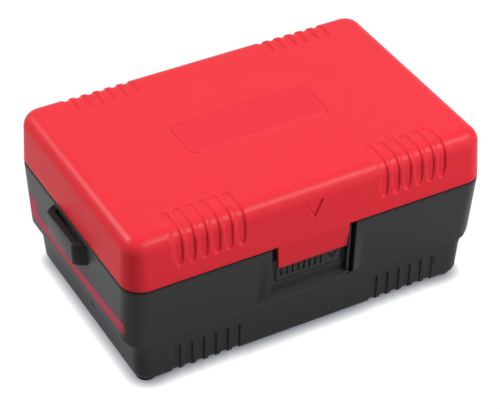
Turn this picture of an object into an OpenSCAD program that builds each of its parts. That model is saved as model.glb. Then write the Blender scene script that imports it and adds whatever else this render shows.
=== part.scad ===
// Insulation resistance tester: a two-tier case with a lid that closes over its panel
// X runs to the right, Y to the rear and Z up; the origin is on the ground under the case's middle

/* [Case] */
// Width over the lid
body_w = 150; // [150:1:190]
// Depth over the lid
body_d = 100; // [96:1:130]
// Thickness of every case and lid wall
wall = 2.2; // [1.6:0.1:2.6]
// Corner radius of the lid and the upper tier, and of the lid's top edges
corner_r = 8; // [6:0.1:12]
// Height of the step between the two tiers
step_z = 18.8; // [17:0.1:22]
// Height of the upper tier's rim
rim_z = 48.3; // [46:0.1:60]
// How far the upper tier stands inside the lid's outline
case_inset = 0.2; // [0:0.1:1]
// How far the upper tier's front and rear lean in from rim to step
front_lean = 3.9; // [1:0.1:4.5]
// How far the lower tier stands in at each side
tier_in = 3.4; // [3:0.1:6]
// How far the lower tier stands back at front and rear
tier_back = 0.6; // [0.2:0.1:2]
// How far the lower tier's walls lean in towards the ground
lower_lean = 0.7; // [0.2:0.1:1]
// Corner radius of the lower tier
lower_r = 4.6; // [3:0.1:8]
// Chamfer under the upper tier's side ledges
ledge_c = 2; // [0.5:0.1:2]
// Chamfer round the lower tier's bottom edge
base_c = 1.6; // [0.5:0.1:2]
// Depth of the deck below the rim
deck_drop = 5.8; // [5.7:0.1:8]
// Thickness of the deck
deck_t = 2; // [1.5:0.1:3]
// Radius of the columns that take the case screws
column_r = 3.5; // [3.2:0.1:4]
// How far in from the lower tier's sides the columns and the feet stand
column_in_x = 7.4; // [6:0.1:8]
// How far in from the lower tier's front and rear the columns and the feet stand
column_in_y = 7.5; // [7:0.1:10]
// Radius of the case screws' shanks
case_screw_r = 1.5; // [1.2:0.1:1.8]
// Height of a foot below the case
foot_h = 1.6; // [1:0.1:3]
// Radius of a foot
foot_r = 4; // [3.5:0.1:4.2]

/* [Lid] */
// Height of the lid from its lower edge to its top
lid_h = 21.3; // [18:0.1:40]
// Gap between the case's rim and the lid
seam = 0.8; // [0.5:0.1:1]
// Width of the plate on the lid's top
plate_w = 58.6; // [30:0.1:90]
// Depth of that plate
plate_d = 20.2; // [10:0.1:40]
// Corner cut of that plate
plate_c = 2; // [0.5:0.1:4]
// Thickness of that plate
plate_t = 0.5; // [0.3:0.1:1]
// Height of that plate above the lid's top
plate_up = 0.2; // [0:0.05:0.2]
// Width of the engraved chevron on the lid's front
chevron_w = 7; // [4:0.1:12]
// Height of the chevron
chevron_h = 6.2; // [3:0.1:8]
// Height of the chevron's tip above the lid's lower edge
chevron_up = 8.4; // [2:0.1:9]
// Width of the chevron's line
chevron_line = 0.9; // [0.5:0.1:1.5]
// Depth of the engraving
engrave = 0.5; // [0.2:0.1:0.8]

/* [Grip pads] */
// Width of a pad
pad_w = 3.1; // [1.5:0.1:4]
// Distance between pads
pad_pitch = 5; // [4.2:0.1:6]
// Pads in a group
pad_count = 6; // [2:1:6]
// Distance of a group's middle from the lid's middle
pad_mid = 42.35; // [38:0.05:46]
// Depth of a pad below its surface
pad_h = 0.6; // [0.3:0.1:1]
// Reach of the lid's pads over its top, from its front and rear
pad_reach = 14.2; // [9:0.1:25]
// Height of the lid pads' lower ends above the lid's lower edge
pad_up = 6.8; // [3:0.1:10]
// Height of the lower tier's pads above its bottom
low_pad_h = 13.4; // [5:0.1:14]

/* [Hinge] */
// Distance of a hinge's middle from the lid's middle
knuckle_x = 45; // [30:0.5:50]
// Length of the lid's knuckle
knuckle_l = 16; // [8:0.5:20]
// Radius of the knuckles
knuckle_r = 2.4; // [2:0.1:2.4]
// Length of each of the case's knuckles
case_knuckle_l = 7; // [4:0.5:9]
// Radius of the hinge pins
pin_r = 1; // [0.8:0.1:1.2]
// Radial clearance of a pin that turns
run_gap = 0.05; // [0.02:0.01:0.1]
// Clearance between pieces that move past each other
move_gap = 0.3; // [0.2:0.05:0.4]

/* [Latch] */
// Width of the boss round the latch
boss_w = 38.4; // [37.6:0.1:44]
// How far the boss's face leans in from rim to step
boss_lean = 1.9; // [0.5:0.1:3]
// Depth of the boss and its pocket behind the rim
boss_d = 8.8; // [8.6:0.1:10]
// Width of the pocket that holds the tab
pocket_w = 36; // [35:0.1:36]
// Height of the pocket's floor
pocket_z = 25.2; // [24:0.1:28]
// Depth of the side slots below the pocket's floor
slot_drop = 2.2; // [1:0.1:3]
// Width of the tab
tab_w = 32.8; // [32:0.1:33.4]
// Thickness of the tab behind its field
tab_back = 2; // [1.5:0.1:2.2]
// Depth of the field in the tab's front
field_d = 3; // [2.8:0.1:3.2]
// Width of the border below the field and at its right
tab_border = 1.2; // [0.8:0.1:1.2]
// Width of the lid's tongue
tongue_w = 29.4; // [24:0.1:29.4]
// Depth of the tongue below the lid's lower edge
tongue_h = 10.7; // [8:0.1:14]
// Thickness of the tongue
tongue_t = 1.9; // [1.6:0.1:2]

/* [Strap lugs] */
// Length of a lug along the case's side
lug_l = 28.6; // [26:0.1:40]
// How far a lug stands out
lug_out = 4.6; // [4.2:0.1:8]
// Height of a lug
lug_h = 9.4; // [6:0.1:14]
// Depth of a lug's top below the rim
lug_drop = 1.2; // [0.5:0.1:2]
// Thickness of a lug's bar
lug_bar = 2.5; // [1.5:0.1:2.6]
// Length of the strap's slot
lug_slot = 21; // [18:0.1:22]
// Distance of the lugs behind the case's middle
lug_y = 0.7; // [-5:0.1:5]

/* [Panel] */
// Width of the display's glass
lcd_w = 62; // [50:0.5:63]
// Depth of the display's glass
lcd_d = 33; // [24:0.5:34]
// Distance of the display's middle from the film's rear edge
lcd_back = 29.5; // [29:0.5:30.5]
// Thickness of the printed film on the deck
film_t = 0.5; // [0.3:0.1:0.8]
// Radius of the knob's skirt
knob_r = 16; // [12:0.5:17]
// Height of the knob over the film
knob_h = 13; // [10:0.5:16]
// Distance of the knob's middle from the film's front edge
knob_front = 30.5; // [28:0.5:32]
// Radius of the knob's shaft
shaft_r = 3; // [2:0.1:3.5]
// Radius of the rotary switch
switch_r = 15; // [14.5:0.1:15.5]
// Radius of the test button
test_r = 8.8; // [7.5:0.1:9]
// Travel of the test button
test_travel = 3; // [1.5:0.1:3]
// Width of a small button
key_w = 12; // [9:0.5:13]
// Depth of a small button
key_d = 7; // [5:0.5:8]
// Travel of a small button
key_travel = 1.2; // [0.6:0.1:1.2]
// Radius of a test socket's bore
socket_r = 2.02; // [2.01:0.01:2.05]
// Depth of a test socket's bore
socket_l = 19; // [15:0.5:19]
// Distance of the sockets from the film's rear edge
socket_back = 12.5; // [11.5:0.5:13.5]

/* [Inside] */
// Thickness of the circuit board
pcb_t = 1.6; // [1:0.1:2]
// Gap between the circuit board and the deck
pcb_drop = 6.1; // [6:0.1:7]
// Radius of a battery cell
cell_r = 7.25; // [6.5:0.05:7.4]
// Length of a battery cell with its button
cell_l = 50.5; // [44:0.1:51]
// Thickness of the battery tray's walls
tray_t = 1.5; // [1:0.1:1.8]
// Length of a battery spring as fitted
spring_l = 6; // [4:0.1:6]

/* [Hidden] */
$fn = 48;
CELLS = [for (i = [1:8]) str("battery_", i)];
FEET = [for (i = [1:4]) str("foot_", i)];

RED = [0.86, 0.2, 0.24];
DARK = [0.24, 0.24, 0.24];
BLACK = [0.1, 0.1, 0.1];
STEEL = [0.7, 0.7, 0.72];
BRASS = [0.8, 0.65, 0.3];
GREEN = [0.1, 0.35, 0.2];
WHITE = [0.92, 0.92, 0.9];
far = 400;
over = 1;

// Outlines of the case
hw = body_w / 2;
hd = body_d / 2;
lid_z0 = rim_z + seam;
lid_z1 = lid_z0 + lid_h;
plate_z1 = lid_z1 + plate_up;
case_hw = hw - case_inset;
case_hd = hd - case_inset;
lower_hw = case_hw - tier_in;
lower_hd = case_hd - front_lean - tier_back;
floor_z = foot_h + wall;
deck_z = rim_z - deck_drop;
deck_z0 = deck_z - deck_t;
film_z = deck_z + film_t;
column_x = lower_hw - column_in_x;
column_y = lower_hd - column_in_y;
column_extra = 1;
lean_deg = atan(front_lean / (rim_z - step_z));
function lower_in(z) = lower_lean * (step_z - z) / (step_z - foot_h);
base_z = foot_h + base_c;
base_in = lower_in(base_z) + base_c;
low_pad_z = foot_h + low_pad_h;
function lower_x(z) = lower_hw - lower_in(z);
function lower_y(z) = lower_hd - lower_in(z);
function boss_y(z) = -(case_hd - boss_lean * (rim_z - z) / (rim_z - step_z));
PAD_X = [for (s = [-1, 1], k = [0:pad_count - 1]) s * (pad_mid + (k - (pad_count - 1) / 2) * pad_pitch)];
CORNERS = [[1, 1], [-1, 1], [-1, -1], [1, -1]];

// Hinge and latch
boss_wall = 1.5;
hinge_in = 1.6;
hinge_drop = 2.7;
hinge_y = case_hd - hinge_in;
hinge_z = rim_z - hinge_drop;
pin_bore_r = pin_r + run_gap;
pin_half = knuckle_l / 2 + move_gap + case_knuckle_l;
pocket_back = boss_d - boss_wall - case_hd;
tab_z0 = pocket_z + move_gap;
tab_drop = 1;
tab_z1 = rim_z - tab_drop;
tab_field_y = boss_y(rim_z) + field_d;
tab_back_y = tab_field_y + tab_back;
tab_pivot_r = 1.2;
pivot_slack = 0.6;
pivot_drop = 3;
tab_pivot_y = pocket_back - move_gap - pivot_slack - tab_pivot_r;
tab_pivot_z = pocket_z - pivot_drop;
foot_slot_w = tab_w + 2 * move_gap;
foot_slot_d = 2 * (tab_pivot_r + move_gap) + pivot_slack;
tab_bead_l = tab_w + (boss_w - foot_slot_w) / 2;
tab_ledge = 2.4;
catch_h = 1.4;
catch_d = 0.4;
tongue_y0 = -case_hd;
tongue_z0 = lid_z0 - tongue_h;

// Strap lugs, screws, feet and the mark on the lower tier's sides
lug_z1 = rim_z - lug_drop;
lug_z0 = lug_z1 - lug_h;
lug_peg_r = 1.4;
lug_peg_drop = 2.6;
lug_slant = 1;
lug_end = (lug_l - lug_slot) / 2;
head_r = 2.8;
head_h = 2;
foot_seat = 0.4;
head_in = 1.5;
head_z = foot_h + foot_seat + head_in;
screw_spare = 4;
screw_top = deck_z0 - wall - screw_spare;
mark_up = 11.8;
mark_z = foot_h + mark_up;
mark_y = -6.4;
mark_r = 1.4;

// Layout of the panel and the circuit board
film_gap = 0.5;
film_r = 4;
film_side = 2;
film_front = boss_d - case_hd + film_gap;
film_rear = hinge_y - knuckle_r - move_gap - 2 * film_gap;
film_d = film_rear - film_front;
film_mid = (film_rear + film_front) / 2;
pcb_z1 = deck_z0 - pcb_drop;
pcb_z0 = pcb_z1 - pcb_t;
pcb_side_gap = 0.5;
pcb_front_gap = 1.5;
pcb_back = 20.5;
lcd_y = film_rear - lcd_back;
socket_y = film_rear - socket_back;
knob_y = film_front + knob_front;
pcb_hw = column_x - column_r - pcb_side_gap;
pcb_front = -(column_y - column_r - pcb_front_gap);
pcb_rear = film_rear - pcb_back;
seat_gap = 0.1;
frame_t = 1.6;
frame_slack = 0.3;
frame_w = lcd_w + 2 * (frame_t + frame_slack);
frame_d = lcd_d + 2 * (frame_t + frame_slack);
lcd_x = frame_w / 2 - pcb_hw;
lcd_right = lcd_x + frame_w / 2;
view_lap_x = 2;
view_lap_y = 1.5;
window_lap = 0.5;
view_w = lcd_w - 2 * view_lap_x;
view_d = lcd_d - 2 * view_lap_y;
window_t = 1.5;
window_w = lcd_w - 2 * window_lap;
window_d = lcd_d - 2 * window_lap;
glass_t = 2;
glass_z = deck_z0 - 2 * seat_gap - glass_t;
strip_w = 2.2;
knob_in = 20;
knob_gap = 0.5;
knob_x = pcb_hw - knob_in;
knob_z = film_z + knob_gap;
SOCKET_COLOURS = [RED, [0.15, 0.5, 0.25], BLACK];
tube_t = 1;
sleeve_t = 1.2;
press_gap = 0.02;
socket_wall_r = socket_r + tube_t;
socket_body_r = socket_wall_r + sleeve_t;
socket_flange_r = 6.6;
socket_flange_h = 2;
socket_top = film_z + socket_flange_h;
nut_t = 1.8;
nut_r = socket_body_r + nut_t;
nut_h = 3.6;
socket_in = 9;
socket_gap = 1.18;
socket_last = pcb_hw - socket_in;
socket_first = lcd_right + nut_r + socket_gap;
SOCKET_X = [for (k = [0:2]) socket_first + k * (socket_last - socket_first) / 2];
tail_r = 1;
tail_l = 2;
tail_z = socket_top - socket_l - tube_t - tail_l;
pcb_boss_r = 2.6;
pcb_screw_r = 1;
boss_x = pcb_hw - pcb_boss_r;
boss_in = 3;
boss_front = pcb_front + boss_in;
boss_rear = pcb_rear - boss_in;
frame_clear = pcb_boss_r + 2 * frame_slack;
screw_head_h = 1.4;
SCREW_AT = [[-boss_x, boss_front], [boss_x, boss_front], [boss_x, boss_rear],
    [lcd_right + frame_clear, boss_rear], [-boss_x, lcd_y - frame_d / 2 - frame_clear]];

// Parts that hang under the board or stand on it
core_x = -30;
core_y = -5;
core_w = 22;
core_d = 16;
core_h = 10;
core_t = 2;
core_window_w = 5;
core_window_x = 5.5;
coil_w = 15.6;
coil_d = 22;
coil_gap = 0.2;
coil_hole_w = 6.2;
CAPACITOR_X = [2, 12, 22];
capacitor_y = -8;
capacitor_r = 4;
capacitor_h = 9;
buzzer_x = knob_x + 6;
buzzer_y = 10;
buzzer_r = 7;
buzzer_h = 5;
buzzer_port_r = 1;
buzzer_port_h = 3;
lead_in = 2;
lead_y = pcb_rear - lead_in;

// Range selector and its rotary switch
grip_w = 9;
grip_end = 3;
skirt_h = 3.5;
pointer_t = 0.6;
pointer_w = 1.6;
pointer_in = 2;
cap_t = 3;
shaft_top = film_z + knob_h - cap_t - 2 * seat_gap;
switch_h = 5.5;
switch_top_t = 1.4;
switch_wall = 2;
groove_r = 1.1;
rotor_gap = 1;
rotor_r = switch_r - switch_wall - rotor_gap;
rotor_t = 2.4;
rotor_z = pcb_z1 + switch_top_t;
ball_r = 1;
ball_at = rotor_r - 2 * seat_gap;
spring_at = 6.5;
wiper_x = 8;
wiper_w = 2;
wiper_d = 7;
pivot_r = 2;
steps = 6;
step_deg = 30;

// Buttons
flange_t = 1.5;
flange_z = deck_z0 - seat_gap - flange_t;
flange_over = 1.4;
test_gap = 0.4;
test_rise = 4.5;
test_hole_r = test_r + test_gap;
test_top = film_z + test_rise;
test_cap_t = 3;
test_wall = 1.4;
test_body_h = 4;
test_stem_r = 1.75;
test_spring_r = 3.6;
test_spring_t = 1;
key_rise = 1.2;
key_top = film_z + key_rise;
key_gap = 0.2;
key_body_h = 3.6;
key_stem_r = 1.5;
housing_w = 9;
key_housing_w = 7;
test_x = pcb_boss_r + test_hole_r + flange_over + move_gap - boss_x;
test_in = 8;
test_y = pcb_front + test_in;
key_from_test = 24;
key_pitch = 18;
key_ahead = 3;
KEY_X = [test_x + key_from_test, test_x + key_from_test + key_pitch];
key_y = test_y - key_ahead;

// Chips: middle, size and height
chip_gap = 4;
chip_side = 2.6;
switch_left = knob_x - switch_r;
CHIPS = [[(lcd_right + switch_left) / 2, knob_y, switch_left - lcd_right - 2 * chip_side, 10, 1.6],
    [KEY_X[1] + key_pitch, pcb_front + chip_gap + 3, 8, 6, 1.5], [knob_x, pcb_rear - chip_gap, 12, 6, 1.8]];

// Battery bay
cell_gap = 0.2;
cell_space = 0.5;
cell_pitch = 2 * cell_r + cell_space;
button_r = 2.75;
button_h = 1;
spring_big_r = 4.5;
spring_small_r = 3;
contact_t = 0.5;
bay_hx = cell_l + spring_l / 2 + contact_t;
bay_hy = 2 * cell_pitch + cell_gap;
bay_lip = 1;
cell_z = floor_z + cell_gap + cell_r;
bay_z = cell_z + cell_r + cell_gap;
tray_z1 = bay_z + tray_t;
ROW_Y = [for (k = [0:3]) (k - 1.5) * cell_pitch];
door_t = wall - bay_lip;
door_lap = 3.5;
door_gap = 0.25;
ear_w = 10;
ear_out = 3.5;
ear_x = bay_hx + tray_t + ear_out;
ear_boss_r = 3;
ear_boss_h = 5;
door_screw_spare = 1.5;
door_screw_r = 1.3;
lead_r = 0.8;
tag_w = 4;
tag_up = 1;
plate_side = 11;

// Shared shapes
module rounded_rect(w, d, r) {
    square([w - 2 * r, d], center = true);
    square([w, d - 2 * r], center = true);
    for (c = CORNERS) translate([c[0] * (w / 2 - r), c[1] * (d / 2 - r)]) circle(r);
}
module prism(z0, z1) translate([0, 0, z0]) linear_extrude(z1 - z0) children();
module along_x(w) rotate([90, 0, 90]) linear_extrude(w, center = true) children();
module along_y(d) rotate([90, 0, 0]) linear_extrude(d, center = true) children();
module block(w, d, z0, z1) translate([-w / 2, -d / 2, z0]) cube([w, d, z1 - z0]);
module post(r, z0, z1) translate([0, 0, z0]) cylinder(r = r, h = z1 - z0);
module cone(r1, r2, z0, z1) translate([0, 0, z0]) cylinder(r1 = r1, r2 = r2, h = z1 - z0);
module rod_x(r, l) rotate([0, 90, 0]) cylinder(r = r, h = l, center = true);
module at(x, y) translate([x, y, 0]) children();
module at_columns() for (c = CORNERS) at(c[0] * column_x, c[1] * column_y) children();
module at_hinges() for (s = [-1, 1]) translate([s * knuckle_x, hinge_y, hinge_z]) children();
module at_ears() for (s = [-1, 1]) at(s * ear_x, 0) children();
module key_holes(z0, z1) for (x = KEY_X) at(x, key_y) block(key_w + 2 * key_gap, key_d + 2 * key_gap, z0, z1);

// Solid of the upper tier, inset by i, between two heights
module upper_form(i, z0, z1) intersection() {
    block(far, far, z0, z1);
    along_y(far) ledge_outline(i, z1);
    leaning_prism(i, -1);
    leaning_prism(i, 1);
}
module leaning_prism(i, s) translate([0, s * case_hd, rim_z]) rotate([-s * lean_deg, 0, 0])
    linear_extrude(far, center = true) translate([0, -s * (2 * case_hd + i)])
        rounded_rect(2 * (case_hw - i), 4 * case_hd, corner_r - i);
module ledge_outline(i, z1) polygon([
    [case_hw - i, z1], [case_hw - i, step_z + ledge_c + i], [case_hw - ledge_c - i, step_z + i],
    [ledge_c + i - case_hw, step_z + i], [i - case_hw, step_z + ledge_c + i], [i - case_hw, z1]]);

// Solid of the lower tier, with a chamfer round its bottom edge
module lower_form() {
    along_x(2 * (lower_hw - lower_r)) tier_outline(lower_hd);
    along_y(2 * (lower_hd - lower_r)) tier_outline(lower_hw);
    for (c = CORNERS) at(c[0] * (lower_hw - lower_r), c[1] * (lower_hd - lower_r)) {
        cone(lower_r - base_in, lower_r - lower_in(base_z), foot_h, base_z);
        cone(lower_r - lower_in(base_z), lower_r, base_z, step_z);
    }
}
module tier_outline(half) {
    low = half - lower_in(base_z);
    base = half - base_in;
    polygon([[half, step_z], [low, base_z], [base, foot_h], [-base, foot_h], [-low, base_z], [-half, step_z]]);
}

// Solid of the lid, inset by i, from a height up
module lid_form(i, z0) {
    r = corner_r - i;
    x = hw - corner_r;
    y = hd - corner_r;
    z = lid_z1 - corner_r;
    prism(z0, z) rounded_rect(2 * (hw - i), 2 * (hd - i), r);
    block(2 * x, 2 * y, z, z + r);
    for (s = [-1, 1]) {
        translate([0, s * y, z]) rod_x(r, 2 * x);
        translate([s * x, 0, z]) rotate([90, 0, 0]) cylinder(r = r, h = 2 * y, center = true);
    }
    for (c = CORNERS) translate([c[0] * x, c[1] * y, z]) sphere(r);
}

// Outline of the lid seen from the side, grown by g
module lid_side(g) {
    r = corner_r + g;
    z = lid_z1 - corner_r;
    translate([-hd - g, lid_z0]) square([2 * (hd + g), z - lid_z0]);
    translate([corner_r - hd, lid_z0]) square([2 * (hd - corner_r), lid_h + g]);
    for (s = [-1, 1]) translate([s * (hd - corner_r), z]) circle(r);
}
module pad_profile() intersection() {
    difference() {
        lid_side(over);
        lid_side(-pad_h);
    }
    for (s = [-1, 1]) translate([s * (hd + (over - pad_reach) / 2), lid_z0 + pad_up + far / 2])
        square([pad_reach + over, far], center = true);
}
module chevron() polygon([[0, 0], [chevron_w / 2, chevron_h], [chevron_w / 2 - chevron_line, chevron_h],
    [0, 2 * chevron_line], [chevron_line - chevron_w / 2, chevron_h], [-chevron_w / 2, chevron_h]]);
module plate_outline() polygon([for (c = CORNERS, k = [0, 1])
    let(first = (c[0] * c[1] > 0) == (k == 0))
    [c[0] * (plate_w / 2 - (first ? 0 : plate_c)), c[1] * (plate_d / 2 - (first ? plate_c : 0))]]);

// Lid with its knuckles and tongue
module lid() color(RED) difference() {
    union() {
        difference() {
            lid_form(0, lid_z0);
            lid_form(wall, lid_z0 - over);
        }
        at_hinges() {
            rod_x(knuckle_r, knuckle_l);
            translate([-knuckle_l / 2, -knuckle_r / 2, 0])
                cube([knuckle_l, hd - hinge_y + knuckle_r / 2, lid_z0 - hinge_z + wall]);
        }
        translate([-tongue_w / 2, tongue_y0, tongue_z0]) cube([tongue_w, tongue_t, tongue_h + wall]);
        translate([-tongue_w / 2, tongue_y0 + tongue_t, tongue_z0]) cube([tongue_w, catch_d, catch_h]);
    }
    at_hinges() rod_x(pin_bore_r, knuckle_l + 2 * over);
    for (x = PAD_X) at(x, 0) along_x(pad_w) pad_profile();
    prism(plate_z1 - plate_t, plate_z1 + over) plate_outline();
    translate([0, engrave / 2 - hd, lid_z0 + chevron_up]) along_y(engrave + over) chevron();
}
module nameplate() color([0.85, 0.16, 0.25]) prism(plate_z1 - plate_t, plate_z1) plate_outline();
module hinge_pins() color(STEEL) at_hinges() rod_x(pin_r, 2 * pin_half);

// Spring tab between the two slots, hung on a bead at its foot
module latch_tab() color(DARK) {
    difference() {
        along_x(tab_w) polygon([[boss_y(tab_z0), tab_z0], [boss_y(tab_z1), tab_z1],
            [tab_back_y, tab_z1], [tab_back_y, tab_z0]]);
        translate([-tab_border, 0, 0]) along_x(tab_w) polygon([[-far, tab_z0 + tab_border],
            [tab_field_y, tab_z0 + tab_border + tab_ledge], [tab_field_y, far], [-far, far]]);
    }
    translate([-tab_w / 2, tab_pivot_y - tab_pivot_r, tab_pivot_z])
        cube([tab_w, 2 * tab_pivot_r, tab_z0 - tab_pivot_z + tab_border]);
    translate([0, tab_pivot_y, tab_pivot_z]) rod_x(tab_pivot_r, tab_bead_l);
    translate([-tongue_w / 2, tab_field_y - catch_d, tongue_z0 + catch_h + move_gap])
        cube([tongue_w, catch_d + over, catch_h]);
}

// Upper tier with its deck, latch pocket, columns and hinge knuckles
module upper_case() color(DARK) difference() {
    union() {
        difference() {
            upper_form(0, step_z, rim_z);
            upper_form(wall, step_z + wall, deck_z0);
            upper_form(wall, deck_z, rim_z + over);
            prism(step_z - over, step_z + wall + over)
                rounded_rect(2 * (lower_hw - wall), 2 * (lower_hd - wall), lower_r - wall);
        }
        along_x(boss_w) polygon([[boss_y(rim_z), rim_z], [boss_y(pocket_z), pocket_z], [-lower_hd, step_z],
            [boss_d - case_hd, step_z], [boss_d - case_hd, rim_z]]);
        at_columns() post(column_r, step_z, deck_z0 + over / 2);
        for (p = SCREW_AT) at(p[0], p[1]) post(pcb_boss_r, pcb_z1, deck_z0 + over / 2);
        intersection() {
            at_hinges() rod_x(knuckle_r, 2 * pin_half);
            block(2 * case_hw, 2 * far, deck_z, rim_z);
        }
    }
    translate([-pocket_w / 2, -far, pocket_z]) cube([pocket_w, far + pocket_back, far]);
    for (s = [-1, 1])
        translate([s * (pocket_w + tab_w) / 4 - (pocket_w - tab_w) / 4, -far, pocket_z - slot_drop])
            cube([(pocket_w - tab_w) / 2, far + tab_field_y, far]);
    translate([-foot_slot_w / 2, pocket_back - foot_slot_d, tab_pivot_z - tab_pivot_r - move_gap])
        cube([foot_slot_w, foot_slot_d, far]);
    translate([0, tab_pivot_y, tab_pivot_z]) rod_x(tab_pivot_r + run_gap, tab_bead_l + 2 * move_gap);
    at_hinges() {
        rod_x(pin_bore_r, 2 * pin_half);
        translate([-knuckle_l / 2 - move_gap, -knuckle_r - move_gap, -knuckle_r - move_gap])
            cube([knuckle_l + 2 * move_gap, far, far]);
    }
    at_columns() post(case_screw_r + seat_gap, step_z - over, deck_z0 - wall);
    for (p = SCREW_AT) at(p[0], p[1]) post(pcb_screw_r + seat_gap, pcb_z1 - over, deck_z0);
    at(lcd_x, lcd_y) {
        block(view_w, view_d, deck_z0 - over, deck_z + over);
        block(window_w, window_d, deck_z - window_t, deck_z + over);
    }
    at(knob_x, knob_y) post(shaft_r + move_gap, deck_z0 - over, deck_z + over);
    at(test_x, test_y) post(test_hole_r, deck_z0 - over, deck_z + over);
    key_holes(deck_z0 - over, deck_z + over);
    for (x = SOCKET_X) at(x, socket_y) post(socket_body_r + seat_gap, deck_z0 - over, deck_z + over);
    for (s = [-1, 1], t = [-1, 1]) lug_peg_at(s, t) rod_x(lug_peg_r, 4 * wall);
}

// Lower tier with its floor, front and rear pads and screw columns
module lower_case() color(DARK) difference() {
    union() {
        difference() {
            lower_form();
            prism(floor_z, step_z + over) rounded_rect(2 * (lower_x(floor_z) - wall),
                2 * (lower_y(floor_z) - wall), lower_r - wall);
        }
        at_columns() post(column_r + column_extra, foot_h + wall / 2, step_z);
        at_ears() post(ear_boss_r, floor_z - over / 2, floor_z + ear_boss_h);
    }
    block(2 * (bay_hx - bay_lip), 2 * (bay_hy - bay_lip), foot_h - over, floor_z + over);
    prism(foot_h - over, foot_h + door_t) door_outline(door_gap);
    at_ears() post(door_screw_r + seat_gap, foot_h, floor_z + ear_boss_h - bay_lip);
    at_columns() {
        post(foot_r + seat_gap, foot_h - over, foot_h + foot_seat);
        post(head_r + seat_gap, foot_h, head_z + head_h);
        post(case_screw_r + seat_gap, foot_h, step_z + over);
    }
    for (x = PAD_X) at(x, 0) along_x(pad_w) low_pad_profile();
    for (s = [-1, 1]) translate([s * lower_x(mark_z), mark_y, mark_z]) side_mark();
}
module side_mark() rotate([0, 90, 0]) cylinder(r = mark_r, h = 2 * engrave, center = true, $fn = 3);
module low_pad_profile() for (s = [-1, 1]) polygon([
    [s * (lower_hd - base_in - pad_h * sqrt(2) - over), foot_h - over],
    [s * (lower_y(base_z) - pad_h), base_z + pad_h * (sqrt(2) - 1)],
    [s * (lower_y(low_pad_z) - pad_h), low_pad_z],
    [s * (lower_y(low_pad_z) + over), low_pad_z],
    [s * (lower_hd + over), foot_h - over]]);
module door_outline(g) {
    square([2 * (bay_hx - bay_lip + door_lap + g), 2 * (bay_hy - bay_lip + door_lap + g)], center = true);
    square([2 * (ear_x + ear_boss_r + g), ear_w + 2 * g], center = true);
}

// Case screws under the feet
module case_screws() color(STEEL) at_columns() {
    post(head_r, head_z, head_z + head_h);
    post(case_screw_r, head_z + head_h, screw_top);
}
module foot(i) color(BLACK) at(CORNERS[i][0] * column_x, CORNERS[i][1] * column_y)
    post(foot_r, 0, foot_h + foot_seat);

// Strap lugs, each a bar on two ends that peg into the case's side
module lug_peg_at(s, t) translate([s * case_hw, lug_y + t * (lug_l - lug_end) / 2, lug_z1 - lug_peg_drop])
    children();
module strap_lug(s) color(BLACK) {
    difference() {
        prism(lug_z0, lug_z1) translate([s * case_hw, lug_y]) scale([s, 1]) lug_outline();
        translate([s * (case_hw + (lug_out - lug_bar) / 2), lug_y, 0])
            block(lug_out - lug_bar, lug_slot, lug_z0 - over, lug_z1 + over);
    }
    for (t = [-1, 1]) lug_peg_at(s, t) translate([-s * wall / 2, 0, 0]) rod_x(lug_peg_r, wall);
}
module lug_outline() polygon([[0, -lug_l / 2], [lug_out / 2, lug_slant - lug_l / 2],
    [lug_out, lug_end - lug_l / 2], [lug_out, lug_l / 2 - lug_end],
    [lug_out / 2, lug_l / 2 - lug_slant], [0, lug_l / 2]]);

// Film and display
module panel_overlay() color([0.16, 0.16, 0.17]) difference() {
    prism(deck_z, film_z) translate([0, film_mid])
        rounded_rect(2 * (case_hw - wall - film_side), film_d, film_r);
    at(lcd_x, lcd_y) block(view_w, view_d, deck_z - over, film_z + over);
    at(knob_x, knob_y) post(shaft_r + move_gap, deck_z - over, film_z + over);
    at(test_x, test_y) post(test_hole_r, deck_z - over, film_z + over);
    key_holes(deck_z - over, film_z + over);
    for (x = SOCKET_X) at(x, socket_y) post(socket_body_r + seat_gap, deck_z - over, film_z + over);
}
module lcd_window() color([0.8, 0.85, 0.88, 0.5]) at(lcd_x, lcd_y)
    block(window_w - 2 * seat_gap, window_d - 2 * seat_gap, deck_z - window_t, deck_z);
module lcd_frame() color(BLACK) at(lcd_x, lcd_y) difference() {
    block(frame_w, frame_d, pcb_z1, deck_z0);
    block(frame_w - 2 * frame_t, frame_d - 2 * frame_t, pcb_z1 - over, deck_z0 + over);
}
module lcd_glass() color([0.6, 0.66, 0.58]) at(lcd_x, lcd_y) block(lcd_w, lcd_d, glass_z, glass_z + glass_t);
module lcd_backlight() color(WHITE) at(lcd_x, lcd_y)
    block(view_w, view_d - 2 * strip_w, pcb_z1, glass_z - seat_gap);
module zebra_strips() color(BLACK) for (s = [-1, 1]) at(lcd_x, lcd_y + s * (lcd_d - strip_w) / 2)
    block(view_w, strip_w, pcb_z1, glass_z);

// Circuit board and what it carries
module main_pcb() color(GREEN) difference() {
    union() {
        translate([-pcb_hw, pcb_front, pcb_z0]) cube([2 * pcb_hw, pcb_rear - pcb_front, pcb_t]);
        translate([-pcb_hw, pcb_front, pcb_z0]) cube([frame_w, lcd_y + frame_d / 2 - pcb_front, pcb_t]);
    }
    for (p = SCREW_AT) at(p[0], p[1]) post(pcb_screw_r + seat_gap, pcb_z0 - over, pcb_z1 + over);
    at(knob_x, knob_y) post(pivot_r + run_gap, pcb_z0 - over, pcb_z1 + over);
}
module pcb_screws() color(STEEL) for (p = SCREW_AT) at(p[0], p[1]) {
    post(2 * pcb_screw_r, pcb_z0 - screw_head_h, pcb_z0);
    post(pcb_screw_r, pcb_z0 - screw_head_h / 2, deck_z0 - pcb_screw_r);
}
module circuit_chips() color(BLACK) for (c = CHIPS) at(c[0], c[1]) block(c[2], c[3], pcb_z1, pcb_z1 + c[4]);
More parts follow.
